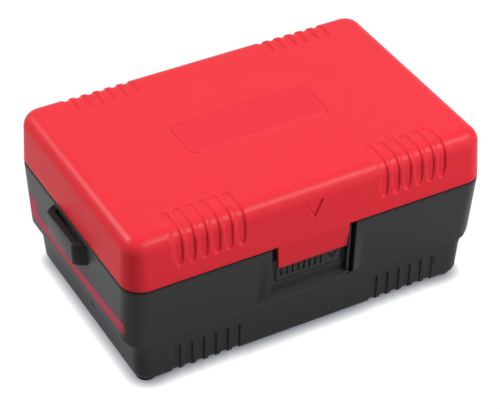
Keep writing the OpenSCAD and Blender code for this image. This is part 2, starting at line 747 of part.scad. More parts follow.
module transformer_core() color([0.2, 0.2, 0.22]) at(core_x, core_y) difference() {
    block(core_w, core_d, pcb_z0 - core_h, pcb_z0);
    for (s = [-1, 1]) at(s * core_window_x, 0)
        block(core_window_w, core_d + 2 * over, pcb_z0 - core_h + core_t, pcb_z0 - core_t);
}
module transformer_winding() color([0.7, 0.5, 0.15]) at(core_x, core_y) difference() {
    block(coil_w, coil_d, pcb_z0 - core_h + core_t + coil_gap, pcb_z0 - core_t - coil_gap);
    block(coil_hole_w, core_d + coil_gap, pcb_z0 - core_h, pcb_z0);
}
module capacitors() color([0.15, 0.2, 0.35]) for (x = CAPACITOR_X) at(x, capacitor_y)
    post(capacitor_r, pcb_z0 - capacitor_h, pcb_z0);
module buzzer() color(BLACK) at(buzzer_x, buzzer_y) difference() {
    post(buzzer_r, pcb_z0 - buzzer_h, pcb_z0);
    post(buzzer_port_r, pcb_z0 - buzzer_h - over, pcb_z0 - buzzer_h + buzzer_port_h);
}

// Range selector
module at_knob() at(knob_x, knob_y) rotate(step_deg * (steps - 1) / 2) children();
module selector_knob() color(BLACK) at_knob() difference() {
    union() {
        post(knob_r, knob_z, knob_z + skirt_h);
        block(grip_w, 2 * (knob_r - grip_end), knob_z + skirt_h / 2, film_z + knob_h);
        for (s = [-1, 1]) at(0, s * (knob_r - grip_end))
            post(grip_w / 2, knob_z + skirt_h / 2, film_z + knob_h);
    }
    post(shaft_r + press_gap, knob_z - over, film_z + knob_h - cap_t);
    pointer_slot();
}
module pointer_slot() translate([-pointer_w / 2, pointer_in, film_z + knob_h - pointer_t])
    cube([pointer_w, knob_r - grip_end, pointer_t]);
module knob_pointer() color(WHITE) at_knob() pointer_slot();
module switch_body() color([0.3, 0.3, 0.32]) at(knob_x, knob_y) difference() {
    post(switch_r, pcb_z1, pcb_z1 + switch_h);
    prism(pcb_z1 - over, pcb_z1 + switch_h - switch_top_t) {
        circle(rotor_r + rotor_gap);
        for (k = [1:360 / step_deg]) rotate((k + 0.5) * step_deg)
            translate([0, rotor_r + rotor_gap]) circle(groove_r);
    }
    post(shaft_r + run_gap, pcb_z1, pcb_z1 + switch_h + over);
}
module switch_shaft() color([0.75, 0.75, 0.72]) at_knob() difference() {
    union() {
        post(shaft_r, rotor_z, shaft_top);
        post(rotor_r, rotor_z, rotor_z + rotor_t);
        post(pivot_r, pcb_z0, rotor_z + over);
    }
    at_detents(spring_at) cylinder(r = ball_r + run_gap, h = rotor_r);
}
module at_detents(y) for (s = [-1, 1]) translate([0, s * y, rotor_z + rotor_t / 2])
    rotate([-90 * s, 0, 0]) children();
module switch_wipers() color(BRASS) at_knob() for (s = [-1, 1]) at(s * wiper_x, 0)
    block(wiper_w, wiper_d, pcb_z1 + run_gap, rotor_z);
module detent_balls() color(STEEL) at_knob() at_detents(ball_at) sphere(ball_r);
module detent_springs() color(STEEL) at_knob() at_detents(spring_at)
    cylinder(r = ball_r - seat_gap, h = ball_at - ball_r - spring_at - seat_gap);

// Push buttons with the switches under them
module test_button() color([0.85, 0.35, 0.1]) at(test_x, test_y) {
    difference() {
        union() {
            post(test_r, flange_z, test_top);
            post(test_hole_r + flange_over, flange_z, flange_z + flange_t);
        }
        post(test_r - test_wall, flange_z - over, test_top - test_cap_t);
    }
    post(test_stem_r, pcb_z1 + seat_gap + test_travel, test_top - test_cap_t + over);
}
module test_switch() color(BLACK) at(test_x, test_y) difference() {
    block(housing_w, housing_w, pcb_z1, pcb_z1 + test_body_h);
    post(test_stem_r + seat_gap, pcb_z1 + seat_gap / 2, pcb_z1 + test_body_h + over);
}
module test_spring() color(STEEL) at(test_x, test_y) difference() {
    post(test_spring_r, pcb_z1 + test_body_h, test_top - test_cap_t);
    post(test_spring_r - test_spring_t, pcb_z1 + test_body_h - over, test_top - test_cap_t + over);
}
module key(k, colour) color(colour) at(KEY_X[k], key_y) {
    block(key_w, key_d, flange_z, key_top);
    block(key_w + 2 * flange_over, key_d + 2 * flange_over, flange_z, flange_z + flange_t);
    post(key_stem_r, pcb_z1 + 2 * key_travel, flange_z + over);
}
module key_switches() color(BLACK) for (x = KEY_X) at(x, key_y) difference() {
    block(key_housing_w, key_housing_w, pcb_z1, min(pcb_z1 + key_body_h, flange_z - key_travel - seat_gap));
    post(key_stem_r + seat_gap, pcb_z1 + key_travel / 2, flange_z);
}

// Test sockets: a coloured insulator, a brass tube, a nut under the deck and a lead to the board
module socket(k) color(SOCKET_COLOURS[k]) at(SOCKET_X[k], socket_y) difference() {
    union() {
        post(socket_flange_r, film_z, socket_top);
        post(socket_body_r, tail_z + tail_l + tube_t, film_z + over);
    }
    post(socket_wall_r + press_gap, tail_z, socket_top + over);
}
module socket_contacts() color(BRASS) for (x = SOCKET_X) at(x, socket_y) difference() {
    union() {
        post(socket_wall_r, tail_z + tail_l, socket_top);
        post(tail_r, tail_z, tail_z + tail_l + over / 2);
    }
    post(socket_r, socket_top - socket_l, socket_top + over);
}
module socket_nuts() color(STEEL) for (x = SOCKET_X) at(x, socket_y) difference() {
    translate([0, 0, deck_z0 - nut_h]) cylinder(r = nut_r, h = nut_h, $fn = 6);
    post(socket_body_r + press_gap, deck_z0 - nut_h - over, deck_z0 + over);
}
module socket_leads() color(BLACK) for (x = SOCKET_X) {
    translate([x, lead_y, tail_z + lead_r]) {
        rotate([-90, 0, 0]) cylinder(r = lead_r, h = socket_y - tail_r - lead_y);
        sphere(lead_r);
    }
    at(x, lead_y) post(lead_r, tail_z + lead_r, pcb_z0);
}

// Battery bay: a tray over eight cells in four rows, with bridge plates at its ends
module battery_tray() color(BLACK) difference() {
    block(2 * (bay_hx + tray_t), 2 * (bay_hy + tray_t), floor_z, tray_z1);
    block(2 * bay_hx, 2 * bay_hy, floor_z - over, bay_z);
    for (k = [0, 3]) at(contact_t / 2 - bay_hx, ROW_Y[k])
        block(contact_t + 2 * seat_gap, tag_w + 2 * seat_gap, bay_z - over, tray_z1 + over);
}
function row_side(row) = row % 2 == 0 ? 1 : -1;
module battery(i) {
    row = floor(i / 2);
    side = row_side(row);
    tip = side * (bay_hx - contact_t - (i % 2) * cell_l);
    color([0.75, 0.6, 0.2]) translate([tip, ROW_Y[row], cell_z]) rotate([0, -90 * side, 0]) {
        cylinder(r = button_r, h = 2 * button_h);
        translate([0, 0, button_h]) cylinder(r = cell_r, h = cell_l - button_h);
    }
}
module battery_springs() color(STEEL) for (row = [0:3])
    translate([-row_side(row) * (bay_hx - contact_t), ROW_Y[row], cell_z]) rotate([0, 90 * row_side(row), 0])
        cylinder(r1 = spring_big_r, r2 = spring_small_r, h = spring_l);
module contact_plate(side, y0, y1)
    translate([side > 0 ? bay_hx - contact_t : -bay_hx, y0 - plate_side / 2, cell_z - plate_side / 2])
        cube([contact_t, y1 - y0 + plate_side, plate_side]);
module battery_plates() color(STEEL) {
    contact_plate(1, ROW_Y[0], ROW_Y[1]);
    contact_plate(1, ROW_Y[2], ROW_Y[3]);
    contact_plate(-1, ROW_Y[1], ROW_Y[2]);
    for (k = [0, 3]) {
        contact_plate(-1, ROW_Y[k], ROW_Y[k]);
        translate([-bay_hx, ROW_Y[k] - tag_w / 2, cell_z]) cube([contact_t, tag_w, tray_z1 + tag_up - cell_z]);
    }
}
module battery_leads() color([0.6, 0.1, 0.1]) for (k = [0, 3]) at(contact_t / 2 - bay_hx, ROW_Y[k])
    post(lead_r, tray_z1 + tag_up, pcb_z0);
module battery_door() color(DARK) difference() {
    union() {
        prism(foot_h, foot_h + door_t) door_outline(0);
        block(2 * (bay_hx - bay_lip - door_gap), 2 * (bay_hy - bay_lip - door_gap), foot_h, floor_z);
    }
    at_ears() door_screw_cone(seat_gap);
}
module door_screw_cone(g) translate([0, 0, foot_h])
    cylinder(r1 = 2 * door_screw_r + g, r2 = door_screw_r + g, h = door_t);
module battery_door_screws() color(STEEL) at_ears() {
    door_screw_cone(0);
    post(door_screw_r, foot_h + door_t, floor_z + ear_boss_h - door_screw_spare);
}

lid();
nameplate();
hinge_pins();
latch_tab();
upper_case();
lower_case();
strap_lug(-1);  // strap_lug_left
strap_lug(1);  // strap_lug_right
panel_overlay();
lcd_window();
lcd_frame();
lcd_glass();
lcd_backlight();
zebra_strips();
main_pcb();
pcb_screws();
circuit_chips();
selector_knob();
knob_pointer();
switch_shaft();
switch_wipers();
detent_balls();
detent_springs();
switch_body();
test_button();
test_spring();
test_switch();
key(0, [0.55, 0.55, 0.57]);  // light_button
key(1, [0.55, 0.55, 0.57]);  // hold_button
key_switches();
socket(0);  // socket_line
socket(1);  // socket_guard
socket(2);  // socket_earth
socket_contacts();
socket_nuts();
socket_leads();
transformer_core();
transformer_winding();
capacitors();
buzzer();
battery_tray();
battery_springs();
battery_plates();
battery_leads();
battery_door();
battery_door_screws();
case_screws();
for (i = [0:7]) battery(i);
for (i = [0:3]) foot(i);
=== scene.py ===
import math

import bmesh
import bpy
import numpy as np
from mathutils import Matrix, Vector


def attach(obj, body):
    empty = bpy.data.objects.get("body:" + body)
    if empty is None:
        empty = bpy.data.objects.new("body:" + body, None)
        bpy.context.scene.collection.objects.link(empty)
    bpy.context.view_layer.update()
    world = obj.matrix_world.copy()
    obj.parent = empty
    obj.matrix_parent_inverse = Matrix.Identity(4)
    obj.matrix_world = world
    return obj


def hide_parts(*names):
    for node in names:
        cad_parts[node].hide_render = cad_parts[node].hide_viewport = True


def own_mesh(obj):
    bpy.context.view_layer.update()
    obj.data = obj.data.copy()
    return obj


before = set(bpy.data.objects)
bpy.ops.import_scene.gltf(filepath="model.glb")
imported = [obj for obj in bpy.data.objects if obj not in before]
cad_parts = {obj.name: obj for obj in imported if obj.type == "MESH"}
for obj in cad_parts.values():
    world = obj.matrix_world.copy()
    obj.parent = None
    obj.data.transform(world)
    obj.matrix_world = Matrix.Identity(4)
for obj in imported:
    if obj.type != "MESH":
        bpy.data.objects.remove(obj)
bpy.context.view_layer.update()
mm = 0.001
quarter = math.pi / 2
tiny = 1e-6
join = np.concatenate


def addObject(name, data):
    thing = bpy.data.objects.new(name, data)
    bpy.context.collection.objects.link(thing)
    return thing


# Camera and light

cameraSpec = {
    "aim": (0.28, 0.06, 29.80), "distance": 772.15, "azimuth": -28.50, "elevation": 37.35, "lens": 142.89,
    "sensor": 36, "clip": (0.05, 20)}


def makeCamera(spec):
    az, el = math.radians(spec["azimuth"]), math.radians(spec["elevation"])
    away = Vector((math.sin(az) * math.cos(el), -math.cos(az) * math.cos(el), math.sin(el)))
    data = bpy.data.cameras.new("camera")
    data.sensor_width, data.sensor_fit, data.lens = spec["sensor"], "HORIZONTAL", spec["lens"]
    data.clip_start, data.clip_end = spec["clip"]
    eye = addObject("camera", data)
    eye.location = (Vector(spec["aim"]) + away * spec["distance"]) * mm
    eye.rotation_euler = (-away).to_track_quat("-Z", "Y").to_euler()
    bpy.context.scene.camera = eye


lampSpecs = [
    {"name": "frontStrip", "at": (0.37, -0.56, 0.66), "size": (0.75, 0.16), "watts": 6.0},
    {"name": "rearSoftbox", "at": (-0.70, 0.69, 0.85), "size": (0.4, 0.4), "watts": 8.4},
    {"name": "backWall", "at": (0.85, 1.5, 1.25), "size": (2.0, 1.2), "watts": 5.5},
    {"name": "rightFill", "at": (0.95, -0.95, 0.40), "size": (0.8, 0.5), "watts": 4.2},
    {"name": "leftFill", "at": (-0.98, 0.33, 0.80), "size": (0.6, 0.5), "watts": 3.0},
    {"name": "frontGloss", "at": (0.37, -0.52, 0.74), "size": (0.75, 0.16), "watts": 15.5, "glossOnly": True},
    {"name": "rearGloss", "at": (-0.70, 0.69, 0.85), "size": (0.4, 0.4), "watts": 24.0, "glossOnly": True},
]
worldFill = 0.26


def makeLamps(specs, aim=(0, 0, 0.03)):
    for spec in specs:
        data = bpy.data.lights.new(spec["name"], "AREA")
        data.shape, data.size, data.size_y = "RECTANGLE", *spec["size"]
        data.energy = spec["watts"]
        lamp = addObject(spec["name"], data)
        lamp.location = spec["at"]
        lamp.rotation_euler = (Vector(aim) - Vector(spec["at"])).to_track_quat("-Z", "Y").to_euler()
        lamp.visible_diffuse = not spec.get("glossOnly", False)


# Node helpers: an input is linked where it is given a socket, and set where it is given a value

def fillNode(tree, node, values):
    for label, value in values.items():
        place = node.inputs[label]
        if isinstance(value, bpy.types.NodeSocket):
            tree.links.new(value, place)
        else:
            place.default_value = value
    return node.outputs


def newNode(tree, kind, values):
    return fillNode(tree, tree.nodes.new("ShaderNode" + kind), values)


def mathNode(tree, operation, *values):
    node = tree.nodes.new("ShaderNodeMath")
    node.operation = operation
    return fillNode(tree, node, dict(enumerate(values)))["Value"]


def mixNode(tree, factor, a, b):
    node = tree.nodes.new("ShaderNodeMix")
    node.data_type = "RGBA"
    return fillNode(tree, node, {"Factor": factor, "A": a, "B": b})["Result"]


def seenFactor(tree):
    # one for what the eye sees straight, in a reflection or through glass, zero for light that is scattered
    path = newNode(tree, "LightPath", {})
    seen = path["Is Camera Ray"]
    for kind in ("Is Glossy Ray", "Is Transmission Ray"):
        seen = mathNode(tree, "MAXIMUM", seen, path[kind])
    return seen


def makeWorld(fill):
    world = bpy.data.worlds.new("studio")
    bpy.context.scene.world = world
    world.use_nodes = True
    tree = world.node_tree
    strength = newNode(tree, "MapRange", {"Value": seenFactor(tree), "To Min": fill, "To Max": 1.0})
    fillNode(tree, tree.nodes["Background"], {"Color": (1, 1, 1, 1), "Strength": strength["Result"]})


# Mesh helpers, in millimetres until the mesh is made

def pick(spec, names):
    return [spec[name] for name in names.split()]


def stack(*coordinates):
    # coordinates of any matching shapes put side by side as points
    return np.stack(np.broadcast_arrays(*coordinates), -1)


def unique(*runs):
    # values in order, with repeats left out
    return np.unique(np.round(join(runs), 4))


def circle(count):
    return np.linspace(0, 4 * quarter, count, endpoint=False)


def smooth(value, low, high):
    t = np.clip((value - low) / (high - low), 0, 1)
    return t * t * (3 - 2 * t)


def shell(points, wrap=True, loop=False):
    # quads between neighbouring rows and columns; wrap joins last column to first, loop last row to first
    rows, cols = points.shape[:2]
    r = np.arange(rows if loop else rows - 1)[:, None]
    c = np.arange(cols if wrap else cols - 1)[None, :]
    r2, c2 = (r + 1) % rows, (c + 1) % cols
    quads = stack(r * cols + c, r * cols + c2, r2 * cols + c2, r2 * cols + c).reshape(-1, 4)
    return points.reshape(-1, 3), quads


def joinShells(*shells):
    counts = np.cumsum([0] + [len(v) for v, _ in shells])
    verts = join([v for v, _ in shells])
    return verts, join([f + n for (_, f), n in zip(shells, counts)])


def slab(top, bottom):
    # two grids of one size back to back, closed all round
    cols = top.shape[1]
    verts, sides = shell(join([top, bottom[:, ::-1]], 1))
    c = np.arange(cols - 1)
    cap = stack(c, c + 1, 2 * cols - 2 - c, 2 * cols - 1 - c)
    last = (len(top) - 1) * 2 * cols
    return verts, join([sides, cap[:, ::-1], cap + last])


def lathe(profile, centre=(0, 0, 0), segments=64):
    # a profile of (radius, z) pairs turned once round the z axis
    profile, a = np.asarray(profile, float), circle(segments)
    r, z = profile[:, :1], profile[:, 1:]
    return shell(stack(r * np.cos(a), r * np.sin(a), z) + np.asarray(centre, float), loop=True)


def roundEdge(r, top, size, count):
    # profile of a turned edge from its side to its top
    a = np.linspace(0, quarter, count)
    return stack(r - size + size * np.cos(a), top - size + size * np.sin(a))


def webbed(a, radius, upTo):
    # radius by angle of a round bar whose upper side is drawn out square
    s, c = np.sin(a), np.abs(np.cos(a))
    return np.where(s > 0, np.minimum(radius / np.maximum(c, tiny), upTo / np.maximum(s, tiny)), radius)


def cleanShell(verts, quads, perMm=2e4):
    # shared points become one, a quad with two equal corners becomes a triangle, and faces are turned outward
    keys, back = np.unique(np.round(verts * perMm).astype(np.int64), axis=0, return_inverse=True)
    verts = keys / perMm
    quads = back.reshape(-1)[quads]
    same = quads == np.roll(quads, -1, 1)
    extra = same.sum(1)
    whole = quads[(extra == 0) & (quads[:, 0] != quads[:, 2]) & (quads[:, 1] != quads[:, 3])]
    tris = quads[extra == 1][~same[extra == 1]].reshape(-1, 3)
    tris = tris[(tris != np.roll(tris, -1, 1)).all(1)]
    corners = join([whole[:, [0, 1, 2]], whole[:, [0, 2, 3]], tris])
    a, b, c = (verts[corners[:, k]] for k in range(3))
    if np.einsum("ij,ij->i", a, np.cross(b, c)).sum() < 0:
        whole, tris = whole[:, ::-1], tris[:, ::-1]
    return verts, whole, tris


def placeMesh(name, mesh, body, slot, stands=(), material=None):
    # the slot's own finish unless another is given
    piece = addObject(name, mesh)
    mesh.materials.append(material or slotFinish[slot])
    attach(piece, body)
    if stands:
        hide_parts(*stands)
    return piece


def makePiece(name, shells, body, slot, stands=(), material=None, crease=32):
    points, faces, total = [], [], 0
    for verts, quads in shells:
        verts, whole, tris = cleanShell(verts, quads)
        points.append(verts)
        faces += (whole + total).tolist() + (tris + total).tolist()
        total += len(verts)
    mesh = bpy.data.meshes.new(name)
    mesh.from_pydata((join(points) * mm).tolist(), [], faces)
    mesh.validate()
    mesh.shade_smooth()
    mesh.set_sharp_from_angle(angle=math.radians(crease))
    return placeMesh(name, mesh, body, slot, stands, material)


def columnsAround(xs, ys, arcs):
    # columns of a ring, anticlockwise from the front left: sides 0 2 4 6 are straight, 1 3 5 7 arcs between
    turn = np.linspace(0, quarter, arcs + 1)[1:-1]
    runs = [xs, turn - quarter, ys, turn, xs[::-1], turn + quarter, ys[::-1], turn + 2 * quarter]
    side = join([np.full(len(t), k) for k, t in enumerate(runs)])
    return side, join(runs)


def columnNormals(cols):
    # outward direction in plan of each column of such a ring
    side, t = cols
    flat = np.array([[0, -1], [0, 0], [1, 0], [0, 0], [0, 1], [0, 0], [-1, 0], [0, 0]])[side]
    return np.where((side % 2 == 1)[:, None], stack(np.cos(t), np.sin(t)), flat)


def around(cols, halfX, halfY, radius, z, spanX, spanY):
    # one rounded rectangle per row; straight columns keep their share of the straight length
    side, t = cols
    hx, hy, r = (np.asarray(v, float).reshape(-1, 1) for v in (halfX, halfY, radius))
    z = np.asarray(z, float)
    z = z if z.ndim == 2 else z.reshape(-1, 1)
    signX = np.where((side >= 1) & (side <= 3), 1, -1)
    signY = np.where((side >= 3) & (side <= 5), 1, -1)
    arc, across = side % 2 == 1, (side == 0) | (side == 4)
    x = np.where(arc, signX * (hx - r) + r * np.cos(t), np.where(across, t * (hx - r) / spanX, signX * hx))
    y = np.where(arc, signY * (hy - r) + r * np.sin(t), np.where(across, signY * hy, t * (hy - r) / spanY))
    return stack(x, y, z)


# Shared looks

def makeMouldGrain(fineShare=0.7):
    # fine spark-eroded grain with a slow drift of tone, as on moulded plastic
    tree = bpy.data.node_groups.new("mouldGrain", "ShaderNodeTree")
    inputs = ("Vector", "Vector", None), ("Fine", "Float", 2600.0), ("Slow", "Float", 45.0)
    for label, kind, value in inputs:
        socket = tree.interface.new_socket(name=label, in_out="INPUT", socket_type="NodeSocket" + kind)
        if value is not None:
            socket.default_value = value
    for label in ("Tone", "Sheen", "Height"):
        tree.interface.new_socket(name=label, in_out="OUTPUT", socket_type="NodeSocketFloat")
    start = tree.nodes.new("NodeGroupInput").outputs
    noise = []
    for label, detail in (("Fine", 2.0), ("Slow", 3.0)):
        values = {"Vector": start["Vector"], "Scale": start[label], "Detail": detail}
        noise.append(newNode(tree, "TexNoise", values)["Fac"])
    fine, slow = noise
    tone = mathNode(tree, "MULTIPLY_ADD", fine, fineShare, mathNode(tree, "MULTIPLY", slow, 1 - fineShare))
    fillNode(tree, tree.nodes.new("NodeGroupOutput"), {"Tone": tone, "Sheen": slow, "Height": fine})
    return tree


mouldGrain = makeMouldGrain()


def makePlastic(name, colour, rough, fine=2600.0, depth=0.02, spread=0.07, specular=0.1, metal=0.0,
                stretch=(1, 1, 1), roughSpread=0.015, bumpStrength=0.35):
    material = bpy.data.materials.new(name)
    material.use_nodes = True
    tree = material.node_tree
    place = newNode(tree, "TexCoord", {})["Object"]
    node = tree.nodes.new("ShaderNodeGroup")
    node.node_tree = mouldGrain
    drawn = newNode(tree, "Mapping", {"Vector": place, "Scale": stretch})
    grain = fillNode(tree, node, {"Vector": drawn["Vector"], "Fine": fine})
    low, high = ((*np.clip(np.array(colour) * k, 0, 1), 1) for k in (1 - spread, 1 + spread))
    least, most = rough - roughSpread, rough + roughSpread
    sheen = newNode(tree, "MapRange", {"Value": grain["Sheen"], "To Min": least, "To Max": most})
    deep = {"Height": grain["Height"], "Strength": bumpStrength, "Distance": depth * mm}
    bump = newNode(tree, "Bump", deep)
    fillNode(tree, tree.nodes["Principled BSDF"], {
        "Base Color": mixNode(tree, grain["Tone"], low, high), "Roughness": sheen["Result"],
        "Normal": bump["Normal"], "Specular IOR Level": specular, "Metallic": metal})
    return material


def addPattern(material, kind, settings, light, share, bands=None):
    # a second tone laid over the grain where a texture node is bright
    tree = material.node_tree
    shader, pattern = tree.nodes["Principled BSDF"], tree.nodes.new("ShaderNodeTex" + kind)
    if bands:
        pattern.bands_direction = bands
    place = newNode(tree, "TexCoord", {})["Object"]
    bright = fillNode(tree, pattern, {"Vector": place, **settings})["Fac"]
    under = shader.inputs["Base Color"].links[0].from_socket
    weight = mathNode(tree, "MULTIPLY", bright, share)
    fillNode(tree, shader, {"Base Color": mixNode(tree, weight, under, (*light, 1))})
    return material


def makeClear(name, rough):
    # clear acrylic: plain transmission, with faint rub marks in its roughness
    material = makePlastic(name, (0.92, 0.94, 0.93), rough, 600.0, 0.001, 0.02, 0.5)
    tree = material.node_tree
    fillNode(tree, tree.nodes["Principled BSDF"], {"Transmission Weight": 1.0, "IOR": 1.49})
    return material


turned = {"depth": 0.004, "spread": 0.10, "metal": 1.0, "stretch": (1, 1, 0.12)}
glassy = {"fine": 900.0, "depth": 0.002, "spread": 0.04, "specular": 0.4}
printed = {"fine": 3800.0, "spread": 0.05}
inkRed = makePlastic("inkRed", (0.47, 0.042, 0.078), 0.5, fine=1200.0)
inkWhite = makePlastic("inkWhite", (0.70, 0.70, 0.68), 0.55, **printed)
inkYellow = makePlastic("inkYellow", (0.78, 0.42, 0.02), 0.55, **printed)
displayInk = makePlastic("displayInk", (0.27, 0.30, 0.245), 0.34, **glassy)
board = makePlastic("board", (0.010, 0.085, 0.035), 0.32, specular=0.5)
boardRows = {"Scale": 320.0, "Mortar Size": 0.06, "Brick Width": 1.7, "Row Height": 0.4}
winding = makePlastic("winding", (0.42, 0.19, 0.05), 0.3, specular=0.5)
cellWrap = makePlastic("cellWrap", (0.10, 0.11, 0.12), 0.28, metal=0.5)
cellBands = {"Scale": 9.0, "Distortion": 0.4}
slotFinish = {
    "red_plastic": makePlastic("redPlastic", (0.745, 0.032, 0.046), 0.33, specular=0.045),
    "red_plate": makePlastic("redPlate", (0.72, 0.030, 0.050), 0.36, fine=1500.0, specular=0.045),
    "grey_plastic": makePlastic("greyPlastic", (0.030, 0.030, 0.0305), 0.34, depth=0.03, spread=0.12,
                                specular=0.115),
    "black_plastic": makePlastic("blackPlastic", (0.011, 0.011, 0.0114), 0.30, spread=0.15, specular=0.13),
    "foot_rubber": makePlastic("rubber", (0.008, 0.008, 0.008), 0.7, fine=1800.0, depth=0.05),
    "film": makePlastic("panelFilm", (0.036, 0.037, 0.040), 0.46, 5200.0, 0.012, 0.10, 0.3),
    "clear_plastic": makeClear("clearPlastic", 0.08),
    "lcd": makePlastic("displayGrey", (0.37, 0.41, 0.33), 0.30, **glassy),
    "white_plastic": makePlastic("whitePlastic", (0.76, 0.76, 0.73), 0.38, specular=0.4),
    "orange_plastic": makePlastic("orangePlastic", (0.82, 0.20, 0.016), 0.32, specular=0.3),
    "key_grey": makePlastic("keyGrey", (0.30, 0.30, 0.31), 0.42, fine=1900.0, specular=0.3),
    "socket_red": makePlastic("socketRed", (0.62, 0.018, 0.016), 0.3, specular=0.3),
    "socket_green": makePlastic("socketGreen", (0.016, 0.24, 0.055), 0.3, specular=0.3),
    "steel": makePlastic("steel", (0.58, 0.58, 0.60), 0.30, fine=5000.0, **turned),
    "brass": makePlastic("brass", (0.72, 0.50, 0.20), 0.26, fine=4000.0, **turned),
    "board": addPattern(board, "Brick", boardRows, (0.03, 0.17, 0.06), 0.8),
    "ferrite": makePlastic("ferrite", (0.035, 0.035, 0.038), 0.6, 1400.0, 0.05, 0.2, 0.4),
    "winding": addPattern(winding, "Wave", {"Scale": 900.0}, (0.62, 0.33, 0.09), 0.7, "Z"),
    "capacitor_sleeve": makePlastic("sleeve", (0.020, 0.035, 0.10), 0.28, specular=0.5),
    "lead_red": makePlastic("leadRed", (0.45, 0.012, 0.012), 0.4, specular=0.4),
    "cell": addPattern(cellWrap, "Wave", cellBands, (0.42, 0.24, 0.10), 0.5, "X"),
}
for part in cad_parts.values():
    for place in part.material_slots:
        place.material = slotFinish[place.material.name.split(".")[0]]

makeCamera(cameraSpec)
makeLamps(lampSpecs)
makeWorld(worldFill)
print("camera, light and shared looks ready")

# Grip pads: rows of sunk bars near both ends of the lid's and the lower tier's edges

padSpec = {
    "centre": 42.35, "pitch": 5.0, "count": 6, "width": 3.1, "deep": 0.6, "soft": 0.16, "round": 1.3,
    "fade": 0.3}
padRow = padSpec["centre"] + (np.arange(padSpec["count"]) - (padSpec["count"] - 1) / 2) * padSpec["pitch"]
padX = join([-padRow, padRow])


def padEdgeXs(xs, reach):
    # even columns beside the pads, and columns across each pad that lie close together on its sloped sides
    half, soft = padSpec["width"] / 2, padSpec["soft"]
    xs = xs[np.min(np.abs(xs[:, None] - padX), 1) > half + 2 * soft]
    steps = join([[0.5, 1.0], half + soft * np.linspace(-1, 1, 5)])
    across = (padX[:, None] + join([-steps, [0], steps])).reshape(-1)
    return join([xs, across[np.abs(across) <= reach]])


def padMask(x, along, low, high):
    # one on a pad and zero off it: bars with round ends and sloped sides, each fading in at its lower end
    soft, bend = padSpec["soft"], padSpec["round"]
    gap = np.min(np.abs(x[..., None] - padX), -1) - padSpec["width"] / 2
    end = np.maximum(padSpec["fade"] * (low - along), along - high)
    corner = np.hypot(np.maximum(gap + bend, 0), np.maximum(end + bend, 0))
    outside = corner + np.minimum(np.maximum(gap, end) + bend, 0) - bend
    return 1 - smooth(outside, -soft, soft)


# Lid: one ring of columns round the wall, closed by a flat grid above and a hipped ceiling inside

lidSpec = {
    "halfX": 75.0, "halfY": 50.0, "low": 49.1, "top": 70.4, "corner": 8.3, "fillet": 5.9, "draft": 1.2,
    "wall": 2.2, "rimRoll": (0.4, 0.12), "tongueHalf": 15.1, "tongueLow": 38.4, "tongueTaper": 0.6,
    "tongueLean": 0.8, "tongueBack": -0.1, "padLow": 6.8, "padEnd": 35.8, "plate": (29.3, 10.1, 2.0),
    "plateDeep": 0.32, "plateEdge": (-0.05, 0.1), "chevron": (57.7, 3.5, 64.0), "chevronLine": (0.36, 0.48),
    "chevronDeep": 1.0, "chevronFaint": 0.15, "chevronFrom": -0.2}


